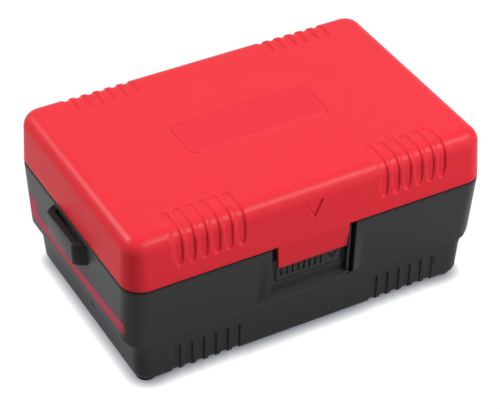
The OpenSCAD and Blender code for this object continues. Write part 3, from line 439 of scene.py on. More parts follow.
def makeLid(spec):
    hx, hy, corner, fillet, draft, wall = pick(spec, "halfX halfY corner fillet draft wall")
    rimZ, top, half = pick(spec, "low top tongueHalf")
    plateX, plateY, cut = spec["plate"]
    spanX, spanY = hx - corner, hy - corner
    fine, coarse, crack = 0.12, 2.0, 0.06
    beside = np.array([-cut - 0.2, -cut, -1, -0.25, -0.05, 0.1, 0.3])
    xs = unique(padEdgeXs(np.append(np.arange(-spanX, spanX, coarse), spanX), spanX),
                np.arange(-36, 37) * fine,
                [-half - crack, -half, half, half + crack], plateX + beside, -plateX - beside)
    ends = spec["padEnd"] + np.arange(-3, 13) * fine
    ys = unique(np.arange(-spanY, spanY, coarse), [spanY], plateY + beside, -plateY - beside, ends, -ends)
    cols = columnsAround(xs, ys, 14)
    side, t = cols
    tongue = (side == 0) & (np.abs(t) <= half + tiny)
    low, high = np.where(tongue, spec["tongueLow"], rimZ), top - fillet
    normal = columnNormals(cols)

    def rows(inset, z):
        # rounded rectangles whose corners keep their centres, leaning in from the rim to the top
        inset = np.zeros(len(z)) + inset
        grid = around(cols, hx - inset, hy - inset, corner - inset, z, spanX, spanY)
        lean = draft * np.clip((grid[..., 2] - rimZ) / (top - rimZ), 0, 1)
        grid[..., :2] -= np.where(inset < corner, lean.T, 0).T[..., None] * normal
        return grid

    # a rolled rim, the wall by shares of its height, the fillet by angle, then flat to the corners' centres
    turn, turnIn = np.linspace(0, quarter, 13), np.linspace(quarter, 0, 5)
    roll, ease = spec["rimRoll"]
    rimIn = np.array([wall, wall - ease, wall - roll, roll, ease, 0.0])
    rimUp = np.array([roll, ease, 0.0, 0.0, ease, roll])
    share = join([np.linspace(0.09, 0.36, 4), np.arange(0.373, 0.54, 0.0107), np.linspace(0.56, 0.69, 4),
                  np.arange(0.70, 0.999, 0.0127)])
    shareIn = np.linspace(0.9, 0.1, 3)
    wallZ, wallInZ = (low + roll + s[:, None] * (high - low - roll) for s in (share, shareIn))
    rim = rows(rimIn, low + rimUp[:, None])
    every = np.ones((1, len(t)))
    out = rows(join([0 * share, fillet * (1 - np.cos(turn)), [corner]]),
               join([wallZ, (high + fillet * np.sin(turn))[:, None] * every, top * every]))
    inR = fillet - wall
    inner = rows(join([[corner], wall + inR * (1 - np.cos(turnIn)), 0 * shareIn + wall]),
                 join([(top - wall) * every, (high + inR * np.sin(turnIn))[:, None] * every, wallInZ]))
    ridge = inner[:1] * [1, 0, 1]
    ridge[..., 0] = np.clip(ridge[..., 0], spanY - spanX, spanX - spanY)
    # pads and chevron move the outer skin along its normal
    angle = join([0 * share, turn, [quarter]])[:, None]
    flat = corner - draft - fillet
    wholeArc = high - rimZ + fillet * quarter
    along = np.where(angle > 0, high - rimZ + fillet * angle, out[..., 2] - rimZ)
    along[-1] += flat
    reach = wholeArc + flat + spanY - spec["padEnd"]
    lift = -padSpec["deep"] * padMask(out[..., 0], along, spec["padLow"], reach) * ((side == 0) | (side == 4))
    tip, wide, up = spec["chevron"]
    tall = up - tip
    arm = np.hypot(wide, tall)
    ax, az = np.abs(out[..., 0]), along + rimZ - tip
    onArm = np.clip((ax * wide + az * tall) / arm, 0, arm)
    apart = np.hypot(ax - onArm * wide / arm, az - onArm * tall / arm)
    deep = np.where(out[..., 0] > spec["chevronFrom"], spec["chevronDeep"], spec["chevronFaint"])
    lift = lift - deep * (1 - smooth(apart, *spec["chevronLine"])) * (side == 0)
    out[..., 1] += lift * np.cos(angle) * np.where(side == 4, 1, -1)
    out[..., 2] += lift * np.sin(angle)
    # the tongue tapers and its back leans in below the rim
    grid = join([ridge, inner, rim, out])
    below = np.where(tongue, np.clip((rimZ - grid[..., 2]) / (rimZ - spec["tongueLow"]), 0, 1), 0)
    grid[..., 0] *= 1 - below * spec["tongueTaper"] / half
    outside = grid[..., 1] < -hy + wall / 2
    grid[..., 1] += below * np.where(outside, spec["tongueLean"], spec["tongueBack"])
    # a flat grid closes the top, with the pad ends and the plate's seat
    gx, gy = np.meshgrid(xs, ys)
    pastX, pastY = np.abs(gx) - plateX, np.abs(gy) - plateY
    edge = np.maximum.reduce([pastX, pastY, (pastX + pastY + cut) / math.sqrt(2)])
    seat = spec["plateDeep"] * (1 - smooth(edge, *spec["plateEdge"]))
    sunk = padSpec["deep"] * padMask(gx, wholeArc + flat + spanY - np.abs(gy), spec["padLow"], reach)
    return joinShells(shell(grid), shell(stack(gx, gy, top - sunk - seat), wrap=False))


hingeSpec = {
    "x": 45.0, "half": 8.0, "y": 48.2, "z": 45.6, "radius": 2.4, "bore": 1.05, "gap": 0.3, "caseLength": 7.0,
    "lidWeb": 4.2, "caseWeb": 4.6}


def makeBarrel(spec, x0, x1, web, up):
    # a hinge knuckle: a bored round bar with a square web to its wall, up +1 above it or -1 below
    a = circle(48)
    out = webbed(a * up, spec["radius"], web)
    loops = [stack(x, spec["y"] + r * np.cos(a), spec["z"] + r * np.sin(a))
             for x, r in ((x0, spec["bore"]), (x0, out), (x1, out), (x1, spec["bore"]))]
    return shell(np.stack(loops), loop=True)


def lidKnuckles(spec):
    x, half = spec["x"], spec["half"]
    return [makeBarrel(spec, s * x - half, s * x + half, spec["lidWeb"], 1) for s in (-1, 1)]


def caseKnuckles(spec):
    inner, outer = spec["half"] + spec["gap"], spec["half"] + spec["gap"] + spec["caseLength"]
    return [makeBarrel(spec, s * spec["x"] + a, s * spec["x"] + b, spec["caseWeb"], -1)
            for s in (-1, 1) for a, b in ((-outer, -inner), (inner, outer))]


lidShells = [makeLid(lidSpec)] + lidKnuckles(hingeSpec)
lid = makePiece("lidShell", lidShells, "lid", "red_plastic", ["lid"], crease=50)
print("lid", len(lid.data.polygons))

# Upper tier: one closed profile swept round, with a latch recess in its front and hinge notches in its rear

upperSpec = {
    "halfX": 75.0, "halfY": 49.8, "radius": 8.0, "rim": 48.3, "step": 18.8, "lean": 3.9, "sideLean": 0.3,
    "rearLean": 3.6, "rearFrom": 40.0, "under": 22.4, "undercut": 2.3, "underPower": 1.5, "frontRoll": 0.7,
    "wall": 2.2, "rimRoll": (0.45, 0.12), "deck": 42.5, "deckLow": 40.5, "deckSet": 1.0,
    "shelf": (60.0, 36.0, 4.0), "inside": (43.6, 21.5), "skirt": (68.0, 43.0, 2.2, 21.0), "notchLow": 42.2}
latchSpec = {
    "bossHalf": 19.2, "bossLean": 1.9, "bossFade": (-1.2, 3.4), "left": -17.5, "right": 18.2, "slot": 16.5,
    "floor": 25.0, "slotFloor": 21.6, "sill": 0.18, "back": -42.5, "rimBack": -42.45, "boxBack": -41.0,
    "chinTop": 24.65, "chin": ((18.8, -45.32), (19.8, -45.4), (22.2, -46.3), (23.6, -47.5), (24.6, -48.2)),
    "rows": (21.3, 21.6, 21.63, 22.2, 22.7, 23.2, 23.6, 24.0, 24.4, 24.7, 24.9, 25.0, 25.03, 25.6)}


def fallAt(z):
    # zero at the upper tier's rim and one at its step
    return (upperSpec["rim"] - z) / (upperSpec["rim"] - upperSpec["step"])


def makeUpper(spec):
    hx, hy, r, w, rim, step = pick(spec, "halfX halfY radius wall rim step")
    left, right, slot, boss = pick(latchSpec, "left right slot bossHalf")
    spanX, spanY, crack = hx - r, hy - r, 0.03
    notch, hinge = hingeSpec["half"] + hingeSpec["gap"], hingeSpec["x"]
    marks = [left - crack, left, slot, slot + crack, right, right + crack]
    marks += [s * (boss + d) for s in (-1, 1) for d in np.arange(-1, 7) * 0.6]
    marks += [s * (hinge + d) for s in (-1, 1) for d in (-notch - crack, -notch, notch, notch + crack)]
    xs = unique(np.arange(-spanX, spanX, 2.4), [spanX], marks)
    cols = columnsAround(xs, np.linspace(-spanY, spanY, 25), 14)
    side, t = cols
    # outer rows from the step up to the rim, and how far in the sides and the front stand
    lip, ease = spec["rimRoll"]
    zs = join([step + spec["undercut"] * (1 - np.cos(np.linspace(0, quarter, 9))), latchSpec["rows"],
               np.linspace(latchSpec["rows"][-1], rim - lip, 30)[1:]])
    fall, roll, under = fallAt(zs), spec["frontRoll"], (spec["under"] - zs) / (spec["under"] - step)
    sideIn = spec["sideLean"] * fall + spec["undercut"] * np.clip(under, 0, 1) ** spec["underPower"]
    frontIn = spec["lean"] * fall + roll * (1 - np.sin(np.clip((zs - step) / roll, 0, 1) * quarter))
    # then over the rim, down the well, under the deck and down inside: half sizes, radius and z of each row
    rimUp = np.array([ease, 0.0, 0.0, ease, lip])
    rimIn = np.array([ease, lip, w - lip, w - ease, w])
    wellZ = np.linspace(rim - 2 * lip, spec["deck"], 8)
    insideY, insideLow = spec["inside"]
    inside = [(*spec["shelf"], spec["deck"]), (*spec["shelf"], spec["deckLow"]),
              (hx - w, hy - w - spec["deckSet"], r - w, spec["deckLow"]), (hx - w, insideY, r - w, insideLow),
              spec["skirt"], (*spec["skirt"][:3], step)]
    profile = join([stack(hx - sideIn, hy - frontIn, r - sideIn, zs),
                    stack(hx - rimIn, hy - rimIn, r - rimIn, rim - rimUp),
                    stack(hx - w, hy - w, r - w, wellZ), inside])
    n = len(zs)
    deckRow = n + len(rimIn) + len(wellZ)
    z = np.repeat(profile[:, 3:], len(t), 1)
    # hinge notches: the rim drops between the case's knuckles
    inNotch = (side == 4) & (np.abs(np.abs(t) - hinge) <= notch + tiny)
    z[:deckRow] = np.where(inNotch, np.minimum(z[:deckRow], spec["notchLow"]), z[:deckRow])
    grid = around(cols, *profile.T[:3], z, spanX, spanY)
    panel = grid[:n, :, 1]
    steeper = (spec["lean"] - spec["rearLean"]) * fall / (hy - frontIn)
    panel *= 1 + steeper[:, None] * smooth(panel, 0.0, spec["rearFrom"])
    # latch boss: a steeper face round the recess whose chin falls back to the lower tier's front
    front = side == 0
    face = np.where(zs < latchSpec["chinTop"], np.interp(zs, *np.array(latchSpec["chin"]).T),
                    latchSpec["bossLean"] * fall - hy)
    face = face + latchSpec["sill"] * np.isclose(zs, latchSpec["floor"])
    fadeIn, fadeOut = latchSpec["bossFade"]
    panel += (face[:, None] - panel) * front * (1 - smooth(np.abs(t), boss + fadeIn, boss + fadeOut))
    # the recess in it, with one slot running lower beside the tab
    recess = front & (t >= left - tiny) & (t <= right + tiny)
    floor = np.where(t > slot + crack / 2, latchSpec["slotFloor"], latchSpec["floor"])
    panel[recess & (zs[:, None] > floor + crack / 2)] = latchSpec["back"]
    grid[n:n + 2, recess, 1] = latchSpec["rimBack"]
    grid[n + 2:deckRow, front & (np.abs(t) <= boss), 1] = latchSpec["boxBack"]
    return shell(grid, loop=True)


upperShells = [makeUpper(upperSpec)] + caseKnuckles(hingeSpec)
upper = makePiece("upperTier", upperShells, "case", "grey_plastic", ["upper_case"])
print("upper tier", len(upper.data.polygons))

# Lower tier: a leaning wall with sunk pads, a rolled bottom edge and a floor round the battery door

lowerSpec = {
    "halfX": 72.15, "halfY": 45.3, "radius": 5.6, "top": 18.8, "low": 1.6, "lean": 0.7, "sideLean": 1.2,
    "shoulder": 1.0, "shoulderOver": (-20.3, -14.6), "roll": 2.4, "rollCorner": 0.3, "hold": 12, "wall": 2.2,
    "padLow": -20.0, "padTop": 15.0, "door": (57.0, 33.2, 2.0), "ear": (62.5, 5.5),
    "mark": (-6.4, 13.4, 1.4, 0.6), "markSoft": 0.5, "rowsAbove": 16.2, "rowsClose": (16.0, 13.3, -0.15),
    "rowsBelow": 13.0, "rimRow": 18.4}


def makeLower(spec):
    hx, hy, r, w, roll, low, top = pick(spec, "halfX halfY radius wall roll low top")
    spanX, spanY, crack = hx - r, hy - r, 0.05
    doorX, doorY, doorR = spec["door"]
    earX, earY = spec["ear"]
    ear = earY * spanY / (doorY - doorR)
    markY, markZ, markR, markDeep = spec["mark"]
    xs = unique(padEdgeXs(np.linspace(-spanX, spanX, 57), spanX))
    ys = unique(np.linspace(-spanY, spanY, 21), markY + np.arange(-8, 9) * 0.2,
                [-ear - crack, -ear, ear, ear + crack])
    cols = columnsAround(xs, ys, 10)
    side, t = cols
    across = (side == 0) | (side == 4)
    # rows down the wall, close together at the pads' upper ends, then round the bottom edge
    wallZ = join([np.linspace(top, spec["rowsAbove"], 4), np.arange(*spec["rowsClose"]),
                  np.linspace(spec["rowsBelow"], low + roll, 9)])
    turn = np.linspace(0, quarter, 9)[1:]
    down = np.append(0 * wallZ, turn)
    z = np.append(wallZ, low + roll * (1 - np.sin(turn)))
    fall, under = np.append((top - wallZ) / (top - low), np.ones(len(turn))), roll * (1 - np.cos(down))
    insetX = spec["sideLean"] * fall + under + spec["shoulder"] * smooth(-z, *spec["shoulderOver"])
    edge = r - spec["rollCorner"] * under
    outer = around(cols, hx - insetX, hy - spec["lean"] * fall - under, edge, z, spanX, spanY)
    # columns of the front and the rear stay upright, but for those near the corners
    short = (hx - insetX - edge - spanX)[:, None]
    upright = t + short * np.sign(t) * np.abs(t / spanX) ** spec["hold"]
    outer[..., 0] = np.where(across, upright, outer[..., 0])
    sunk = padSpec["deep"] * padMask(outer[..., 0], z[:, None], spec["padLow"], spec["padTop"]) * across
    outer[..., 1] -= sunk * np.cos(down)[:, None] * np.where(side == 4, 1, -1)
    outer[..., 2] += sunk * np.sin(down)[:, None]
    apart = np.hypot(outer[..., 1] - markY, outer[..., 2] - markZ)
    outer[..., 0] += markDeep * (1 - smooth(apart, markR - spec["markSoft"], markR)) * (side == 6)
    # the floor from the door's opening to the wall, then up inside: half sizes, radius and z of each row
    inside = np.array([(doorX, doorY, doorR, low), (doorX, doorY, doorR, low + w),
                       (hx - w - spec["sideLean"], hy - w - spec["lean"], r - w - spec["lean"], low + w),
                       (hx - w, hy - w, r - w, spec["rimRow"]), (hx - w, hy - w, r - w, top)])
    inner = around(cols, *inside.T, spanX, spanY)
    onEar = ((side == 2) | (side == 6)) & (np.abs(t) <= ear + tiny)
    inner[:2, :, 0] = np.where(onEar, np.sign(inner[:2, :, 0]) * earX, inner[:2, :, 0])
    return shell(join([outer, inner]), loop=True)


lower = makePiece("lowerTier", [makeLower(lowerSpec)], "case", "grey_plastic", ["lower_case"], crease=45)
print("lower tier", len(lower.data.polygons))

# Latch tab: a leaning spring plate whose field carries a cut border line, grip bars and a pointer

tabSpec = {
    "half": 16.4, "low": 25.25, "high": 47.3, "faceLow": -45.45, "faceHigh": -46.9, "thick": 1.9, "cut": 0.8,
    "rail": 15.5, "railBack": 0.7, "frame": (14.2, 29.6, 1.6), "frameLine": (0.14, 0.26),
    "line": (0.24, 0.36), "grooves": np.arange(-11.6, 5.3, 2.4), "grooveLow": (31.4, 31.7),
    "grooveHigh": (37.4, 37.7), "pointer": (10.0, 32.4), "arm": (0.55, 0.83), "armLength": 4.6,
    "pivot": (-44.6, 22.2), "bead": 1.2, "neck": 3.2, "rootHalf": 16.3, "fineRows": (25.4, 38.8),
    "rowsAbove": 40.0}


def makeTab(spec):
    # front as a height over x and z: a leaning plane with a rail at its right, cut where a line is near
    half, low, high, railX = pick(spec, "half low high rail")
    fine, coarse, soft = 0.12, 0.8, 0.1
    xs = unique(np.arange(-half, half + 0.01, fine), [railX - soft, railX, railX + soft])
    zs = unique([low], np.arange(*spec["fineRows"], fine), np.arange(spec["rowsAbove"], high, coarse), [high])
    gx, gz = np.meshgrid(xs, zs)
    plane = spec["faceLow"] + (spec["faceHigh"] - spec["faceLow"]) * (gz - low) / (high - low)
    rail = latchSpec["bossLean"] * fallAt(gz) - upperSpec["halfY"] + spec["railBack"]
    face = plane + (rail - plane) * smooth(gx, railX - 1.5 * soft, railX + 0.5 * soft)
    frameX, frameZ, frameR = spec["frame"]
    qx, qz = np.abs(gx) - frameX + frameR, frameZ + frameR - gz
    apart = np.hypot(np.maximum(qx, 0), np.maximum(qz, 0)) + np.minimum(np.maximum(qx, qz), 0) - frameR
    frameCut = 1 - smooth(np.abs(apart), *spec["frameLine"])
    bars = 1 - smooth(np.min(np.abs(gx[..., None] - spec["grooves"]), -1), *spec["line"])
    bars = bars * smooth(gz, *spec["grooveLow"]) * (1 - smooth(gz, *spec["grooveHigh"]))
    (atX, atZ), (armX, armZ) = spec["pointer"], spec["arm"]
    px, pz = np.abs(gx - atX), gz - atZ
    reach = np.clip(px * armX + pz * armZ, 0, spec["armLength"])
    pointer = 1 - smooth(np.hypot(px - reach * armX, pz - reach * armZ), *spec["line"])
    front = face + spec["cut"] * np.maximum.reduce([frameCut, bars, pointer])
    return slab(stack(gx, front, gz), stack(gx, plane + spec["thick"], gz))


def tabRoot(spec):
    # the tab's root: a neck that runs down into a round bead at the pivot
    a, (y, z), half = circle(40), spec["pivot"], spec["rootHalf"]
    r = webbed(a, spec["bead"], spec["neck"])
    ends = ((-half, 0), (-half, 1), (half, 1), (half, 0))
    return shell(np.stack([stack(x, y + k * r * np.cos(a), z + k * r * np.sin(a)) for x, k in ends]))


makePiece("latchTab", [makeTab(tabSpec), tabRoot(tabSpec)], "latch", "grey_plastic", ["latch_tab"], crease=50)

# Strap lugs: a rounded bar bent into a staple, with slanted ends

lugSpec = {
    "y": 1.2, "half": 14.5, "shoulder": 13.5, "shoulderOut": 0.55, "turn": 10.3, "slot": 10.2, "out": 79.4,
    "depth": 4.6, "bar": 3.3, "low": 37.7, "high": 47.1, "slotBend": 0.8, "edge": 0.45, "sunk": 0.15}


def lugOuter(spec):
    # plan line from one foot to the other: a cubic curve out of the wall that turns into the bar, twice
    s = np.linspace(0, 1, 17)[:, None]
    shoulder, turn = spec["shoulder"], spec["turn"]
    a, b, c, d = np.array([(0.0, spec["half"]), (spec["shoulderOut"], shoulder),
                           (1.0, (shoulder + turn) / 2), (1.0, turn)])
    first = (1 - s) ** 3 * a + 3 * s * (1 - s) ** 2 * b + 3 * s * s * (1 - s) * c + s ** 3 * d
    return join([first, first[::-1] * [1, -1]])


def lugInner(spec):
    # the slot's plan line, with as many points
    slot, bend = spec["slot"], spec["slotBend"]
    reach, bendOut = 1 - spec["bar"] / spec["depth"], bend / spec["depth"]
    a = np.linspace(0, quarter, 9)
    side = stack(np.linspace(0, reach - bendOut, 9)[:8], slot)
    first = join([side, stack(reach - bendOut * (1 - np.sin(a)), slot - bend * (1 - np.cos(a)))])
    return join([first, first[::-1] * [1, -1]])


def makeLug(spec, sign):
    # a section with four rounded edges between the outer and the inner plan line, carried from foot to foot
    a, e, low, high = np.linspace(0, quarter, 6), spec["edge"], spec["low"], spec["high"]
    side, drop = e * (1 - np.cos(a)), e * (1 - np.sin(a))
    across = join([side, side[::-1], side, side[::-1]])[:, None, None]
    z = join([high - drop, high - drop[::-1], low + drop, low + drop[::-1]])[:, None]
    fromInner = np.repeat([0, 1, 1, 0], len(a))[:, None, None]
    # both lines run from the leaning wall, a little inside it, to the bar's face
    wall = upperSpec["halfX"] - upperSpec["sideLean"] * fallAt(z) - spec["sunk"]
    lines = lugOuter(spec).T, lugInner(spec).T
    outer, inner = (stack(wall + (spec["out"] - wall) * x, y) for x, y in lines)
    inward = (inner - outer) / np.linalg.norm(inner - outer, axis=-1, keepdims=True)
    plan = np.where(fromInner == 1, inner - inward * across, outer + inward * across)
    grid = stack(plan[..., 0] * sign, plan[..., 1] + spec["y"], z)
    rows, cols = grid.shape[:2]
    ring, quads = shell(grid, wrap=False, loop=True)
    k = np.arange(rows // 2 - 1)
    cap = stack(k, k + 1, rows - 2 - k, rows - 1 - k) * cols
    return ring, join([quads, cap, cap[:, ::-1] + cols - 1])


for label, sign in (("Left", -1), ("Right", 1)):
    stands = ["strap_lug_" + label.lower()]
    makePiece("lug" + label, [makeLug(lugSpec, sign)], "case", "black_plastic", stands, crease=40)

# Feet: turned rubber discs with a rounded edge

footSpec = {"x": 64.5, "y": 38.3, "radius": 4.0, "height": 2.0, "round": 0.4}


def makeFoot(spec, sx, sy):
    r, high = spec["radius"], spec["height"]
    edge = roundEdge(r, 0, spec["round"], 7)[::-1] * [1, -1]
    profile = join([[[0, 0]], edge, [[r, high], [0, high]]])
    return lathe(profile, (sx * spec["x"], sy * spec["y"], 0), 48)


for k, (sx, sy) in enumerate(((1, 1), (-1, 1), (-1, -1), (1, -1)), 1):
    makePiece("foot%d" % k, [makeFoot(footSpec, sx, sy)], "case", "foot_rubber", ["foot_%d" % k])

# Nameplate: a bare plate with cut corners and a soft edge

plateSpec = {"halfX": 29.2, "halfY": 10.0, "cut": 2.0, "low": 70.08, "high": 70.58, "chamfer": 0.22}


def makePlate(spec):
    x, y, c, low, high, soft = pick(spec, "halfX halfY cut low high chamfer")
    half = np.array([(c - x, -y), (x - c, -y), (x, c - y), (x, y - c)])
    corners = join([half, -half])
    share = np.linspace(0, 1, 12, endpoint=False)[:, None]
    ring = join([a + (b - a) * share for a, b in zip(corners, np.roll(corners, -1, 0))])
    inward = np.sign(ring) * np.minimum(np.abs(ring), soft)
    steps = [(ring * 0, low), (ring, low), (ring, high - soft), (ring - inward, high), (ring * 0, high)]
    return shell(np.stack([stack(*line.T, z) for line, z in steps]))


makePiece("bareNameplate", [makePlate(plateSpec)], "lid", "red_plate", ["nameplate"], crease=20)

# Printed stripe on the left side, following the wall round its front corner

stripeSpec = {
    "low": 25.15, "rise": 0.7, "riseOver": (-36.0, -16.0), "high": 29.3, "slope": 0.05, "front": -42.6,
    "slant": 0.4, "rear": 41.0, "wider": 1.9, "widerOver": (22.5, 24.0), "block": 6.4,
    "blockOver": (33.0, 33.8), "proud": 0.04, "sunk": 0.05, "cornerLimit": 0.9}


def sideX(y, z):
    # how far out the wall stands, round its corners too
    fall = fallAt(z)
    radius = upperSpec["radius"] - upperSpec["sideLean"] * fall
    lean = np.where(y < 0, upperSpec["lean"], upperSpec["rearLean"])
    past = np.maximum(np.abs(y) - (upperSpec["halfY"] - lean * fall - radius), 0)
    past = np.minimum(past, stripeSpec["cornerLimit"] * radius)
    return upperSpec["halfX"] - upperSpec["radius"] + np.sqrt(radius ** 2 - past ** 2)


def makeStripe(spec):
    # a band along the wall that narrows to the rear, then a wider piece and a block at its rear end
    share, level = np.meshgrid(np.linspace(0, 1, 200), np.linspace(0, 1, 6))
    start = spec["front"] + (spec["rear"] - spec["front"]) * share
    y = start + spec["slant"] * (1 - level) * (1 - share)
    low = spec["low"] + spec["rise"] * (1 - smooth(start, *spec["riseOver"]))
    high = spec["high"] - spec["slope"] * start + spec["wider"] * smooth(start, *spec["widerOver"])
    z = low + (high + spec["block"] * smooth(start, *spec["blockOver"]) - low) * level
    x = sideX(y, z)
    return slab(stack(-x - spec["proud"], y, z), stack(-x + spec["sunk"], y, z))


makePiece("sideStripe", [makeStripe(stripeSpec)], "case", "red_plate", material=inkRed)
print("stripe, lugs, feet, latch and plate ready")

# Panel: ink on the film, then the knob, the buttons, the sockets and the display's segments

panelSpec = {
    "top": 43.0, "knob": (40.0, -10.0), "test": (-43.9, -24.8), "socketY": 32.0,
    "keys": {"light": (-19.9, -27.8), "hold": (-1.9, -27.8)}, "window": (-27.1, 15.0, 58.0, 30.0),
    "sockets": {"line": 13.0, "guard": 32.0, "earth": 51.0}}
printSpec = {
    "ring": 0.35, "tick": 0.7, "windowGap": (2.4, 2.2, 2.5), "windowLine": 0.5, "keyFrame": (8.2, 5.6, 1.8),
    "keyLine": 0.3, "socketRing": 7.5, "line": 0.4, "rules": (67.0, -38.0, 42.0), "testRing": (11.4, 1.5),
    "socketWords": 21.4, "testWord": -10.6, "wordSize": 2.9, "keyWordUp": 7.6, "keyWordSize": 2.4}


def arcPath(centre, radius, start=0, end=354, count=60):
    a = np.radians(np.linspace(start, end, count))
    return stack(centre[0] + radius * np.cos(a), centre[1] + radius * np.sin(a))


def rectPath(centre, hx, hy, r):
    x, y = centre
    corners = ((1, 1, 0), (-1, 1, 90), (-1, -1, 180), (1, -1, 270))
    return join([arcPath((x + sx * (hx - r), y + sy * (hy - r)), r, a, a + 90, 9)
                 for sx, sy, a in corners])


def inkBand(points, width, z, closed=False, thick=0.04, sunk=0.01):
    # a flat line: the path moved half a width to either side, given a film's thickness
    points = np.asarray(points, float)
    step = np.roll(points, -1, 0) - np.roll(points, 1, 0) if closed else np.gradient(points, axis=0)
    off = stack(-step[:, 1], step[:, 0]) * width / 2 / np.linalg.norm(step, axis=1, keepdims=True)
    top, low = (np.stack([stack(*(points + k * off).T, level) for k in (1, -1)], 1)
                for level in (z + thick, z - sunk))
    return shell(join([top, low[:, ::-1]], 1), loop=True) if closed else slab(top, low)


def makeWords(name, words, z, body, slot, material, thick=0.02):
    # words are typed flat, made a mesh with a film's thickness, then set in place and joined
    joined = bmesh.new()
    for text, (x, y), size in words:
        curve = bpy.data.curves.new(name, "FONT")
        curve.body, curve.size, curve.extrude, curve.resolution_u = text, size, thick, 3
        curve.align_x, curve.align_y = "CENTER", "CENTER"
        typed = addObject(name, curve)
        bpy.context.view_layer.update()
        mesh = bpy.data.meshes.new_from_object(typed.evaluated_get(bpy.context.evaluated_depsgraph_get()))
        mesh.transform(Matrix.Scale(mm, 4) @ Matrix.Translation((x, y, z + thick)))
        joined.from_mesh(mesh)
        bpy.data.objects.remove(typed)
    bmesh.ops.remove_doubles(joined, verts=joined.verts, dist=2e-6)
    mesh = bpy.data.meshes.new(name)
    joined.to_mesh(mesh)
    joined.free()
    placeMesh(name, mesh, body, slot, material=material)


dialSpec = {
    "labels": ("OFF", "250", "500", "1000", "V", "\u03a9"), "from": 165, "step": -30, "ring": 18.4,
    "tick": (17.9, 19.6), "words": 22.6, "size": 3.1}


def dialPlace(spec, index, radius):
    a = math.radians(spec["from"] + spec["step"] * index)
    x, y = panelSpec["knob"]
    return x + radius * math.cos(a), y + radius * math.sin(a)


def makePrint(dial, spec):
    z, keys, sockets = panelSpec["top"], panelSpec["keys"], panelSpec["sockets"]
    last = len(dial["labels"]) - 1
    scale = arcPath(panelSpec["knob"], dial["ring"], dial["from"] + dial["step"] * last, dial["from"], 61)
    x, y, w, d = panelSpec["window"]
    gapX, gapY, bend = spec["windowGap"]
    lines = [inkBand(scale, spec["ring"], z)]
    ticks = [[dialPlace(dial, k, r) for r in dial["tick"]] for k in range(last + 1)]
    lines += [inkBand(tick, spec["tick"], z, thick=0.05) for tick in ticks]
    lines += [inkBand(rectPath((x, y), w / 2 + gapX, d / 2 + gapY, bend), spec["windowLine"], z, True)]
    lines += [inkBand(rectPath(at, *spec["keyFrame"]), spec["keyLine"], z, True) for at in keys.values()]
    rings = [arcPath((sx, panelSpec["socketY"]), spec["socketRing"]) for sx in sockets.values()]
    lines += [inkBand(ring, spec["line"], z, True) for ring in rings]
    half, *levels = spec["rules"]
    lines += [inkBand([(-half, level), (half, level)], spec["line"], z) for level in levels]
    makePiece("panelLines", lines, "case", "white_plastic", material=inkWhite)
    radius, width = spec["testRing"]
    ring = inkBand(arcPath(panelSpec["test"], radius), width, z, True)
    makePiece("testRing", [ring], "case", "orange_plastic", material=inkYellow)
    words = [(text, dialPlace(dial, k, dial["words"]), dial["size"]) for k, text in enumerate(dial["labels"])]
    size = spec["wordSize"]
    words += [(text, (sx, spec["socketWords"]), size) for text, sx in zip("LGE", sockets.values())]
    words += [("TEST", (panelSpec["test"][0], spec["testWord"]), size)]
    words += [(key.upper(), (kx, ky + spec["keyWordUp"]), spec["keyWordSize"])
              for key, (kx, ky) in keys.items()]
    makeWords("panelWords", words, z, "case", "white_plastic", inkWhite)


makePrint(dialSpec, printSpec)

knobSpec = {
    "skirt": 16.0, "flutes": 40, "fluteDeep": 0.35, "long": 17.5, "wide": 4.5, "waist": 0.22, "gripLow": 45.3,
    "top": 55.97, "round": 1.4, "draft": 0.3, "turn": 75.0, "square": (0.6, 0.75), "footHigh": 1.0,
    "ease": 0.5, "endInset": 2.0,
    "skirtRows": ((0, 43.5), (15.5, 43.5), (16.0, 43.9), (16.0, 45.5), (15.75, 46.2), (15.1, 46.6),
                  (14.0, 46.78), (10.0, 46.9), (0, 46.9))}


def makeKnob(spec):
    # skirt: a turned profile with a rim fluted by a cosine; grip: a waisted superellipse, its top edge round
    a, u = circle(240), circle(128)
    profile = np.array(spec["skirtRows"])
    rim = np.isclose(profile[:, 0], spec["skirt"], atol=0.3)[:, None]
    size = profile[:, :1] - rim * spec["fluteDeep"] * (0.5 + 0.5 * np.cos(a * spec["flutes"])) ** 2
    skirt = stack(size * np.cos(a), size * np.sin(a), profile[:, 1:])
    wide, long, high, gripLow, e, draft = pick(spec, "wide long top gripLow round draft")
    (powerX, powerY), foot, ease = pick(spec, "square footHigh ease")
    y = np.sign(np.sin(u)) * np.abs(np.sin(u)) ** powerY
    x = np.sign(np.cos(u)) * np.abs(np.cos(u)) ** powerX * (1 - spec["waist"] * (1 - y * y))
    turn = np.linspace(0, quarter, 8)
    inset = join([[wide, 0.0, 0.0, draft], draft + e * (1 - np.cos(turn)), [wide]])[:, None]
    z = join([[gripLow, gripLow, gripLow + foot, high - e - ease], high - e + e * np.sin(turn), [high]])
    grip = stack(x * (wide - inset), y * (long - np.minimum(inset, spec["endInset"])), z[:, None])
    c, s = math.cos(math.radians(spec["turn"])), math.sin(math.radians(spec["turn"]))
    spin = np.array([[c, s, 0], [-s, c, 0], [0, 0, 1]])
    return [shell(part @ spin + [*panelSpec["knob"], 0]) for part in (skirt, grip)]


makePiece("rangeKnob", makeKnob(knobSpec), "selector", "black_plastic", ["selector_knob"], crease=28)

testSpec = {
    "radius": 8.8, "inside": 7.4, "flange": 10.6, "flangeLow": 38.9, "flangeTop": 40.4, "under": 44.5,
    "top": 47.5, "stem": 1.75, "stemLow": 37.5, "round": 1.3, "dish": 0.7, "dishIn": 0.3}


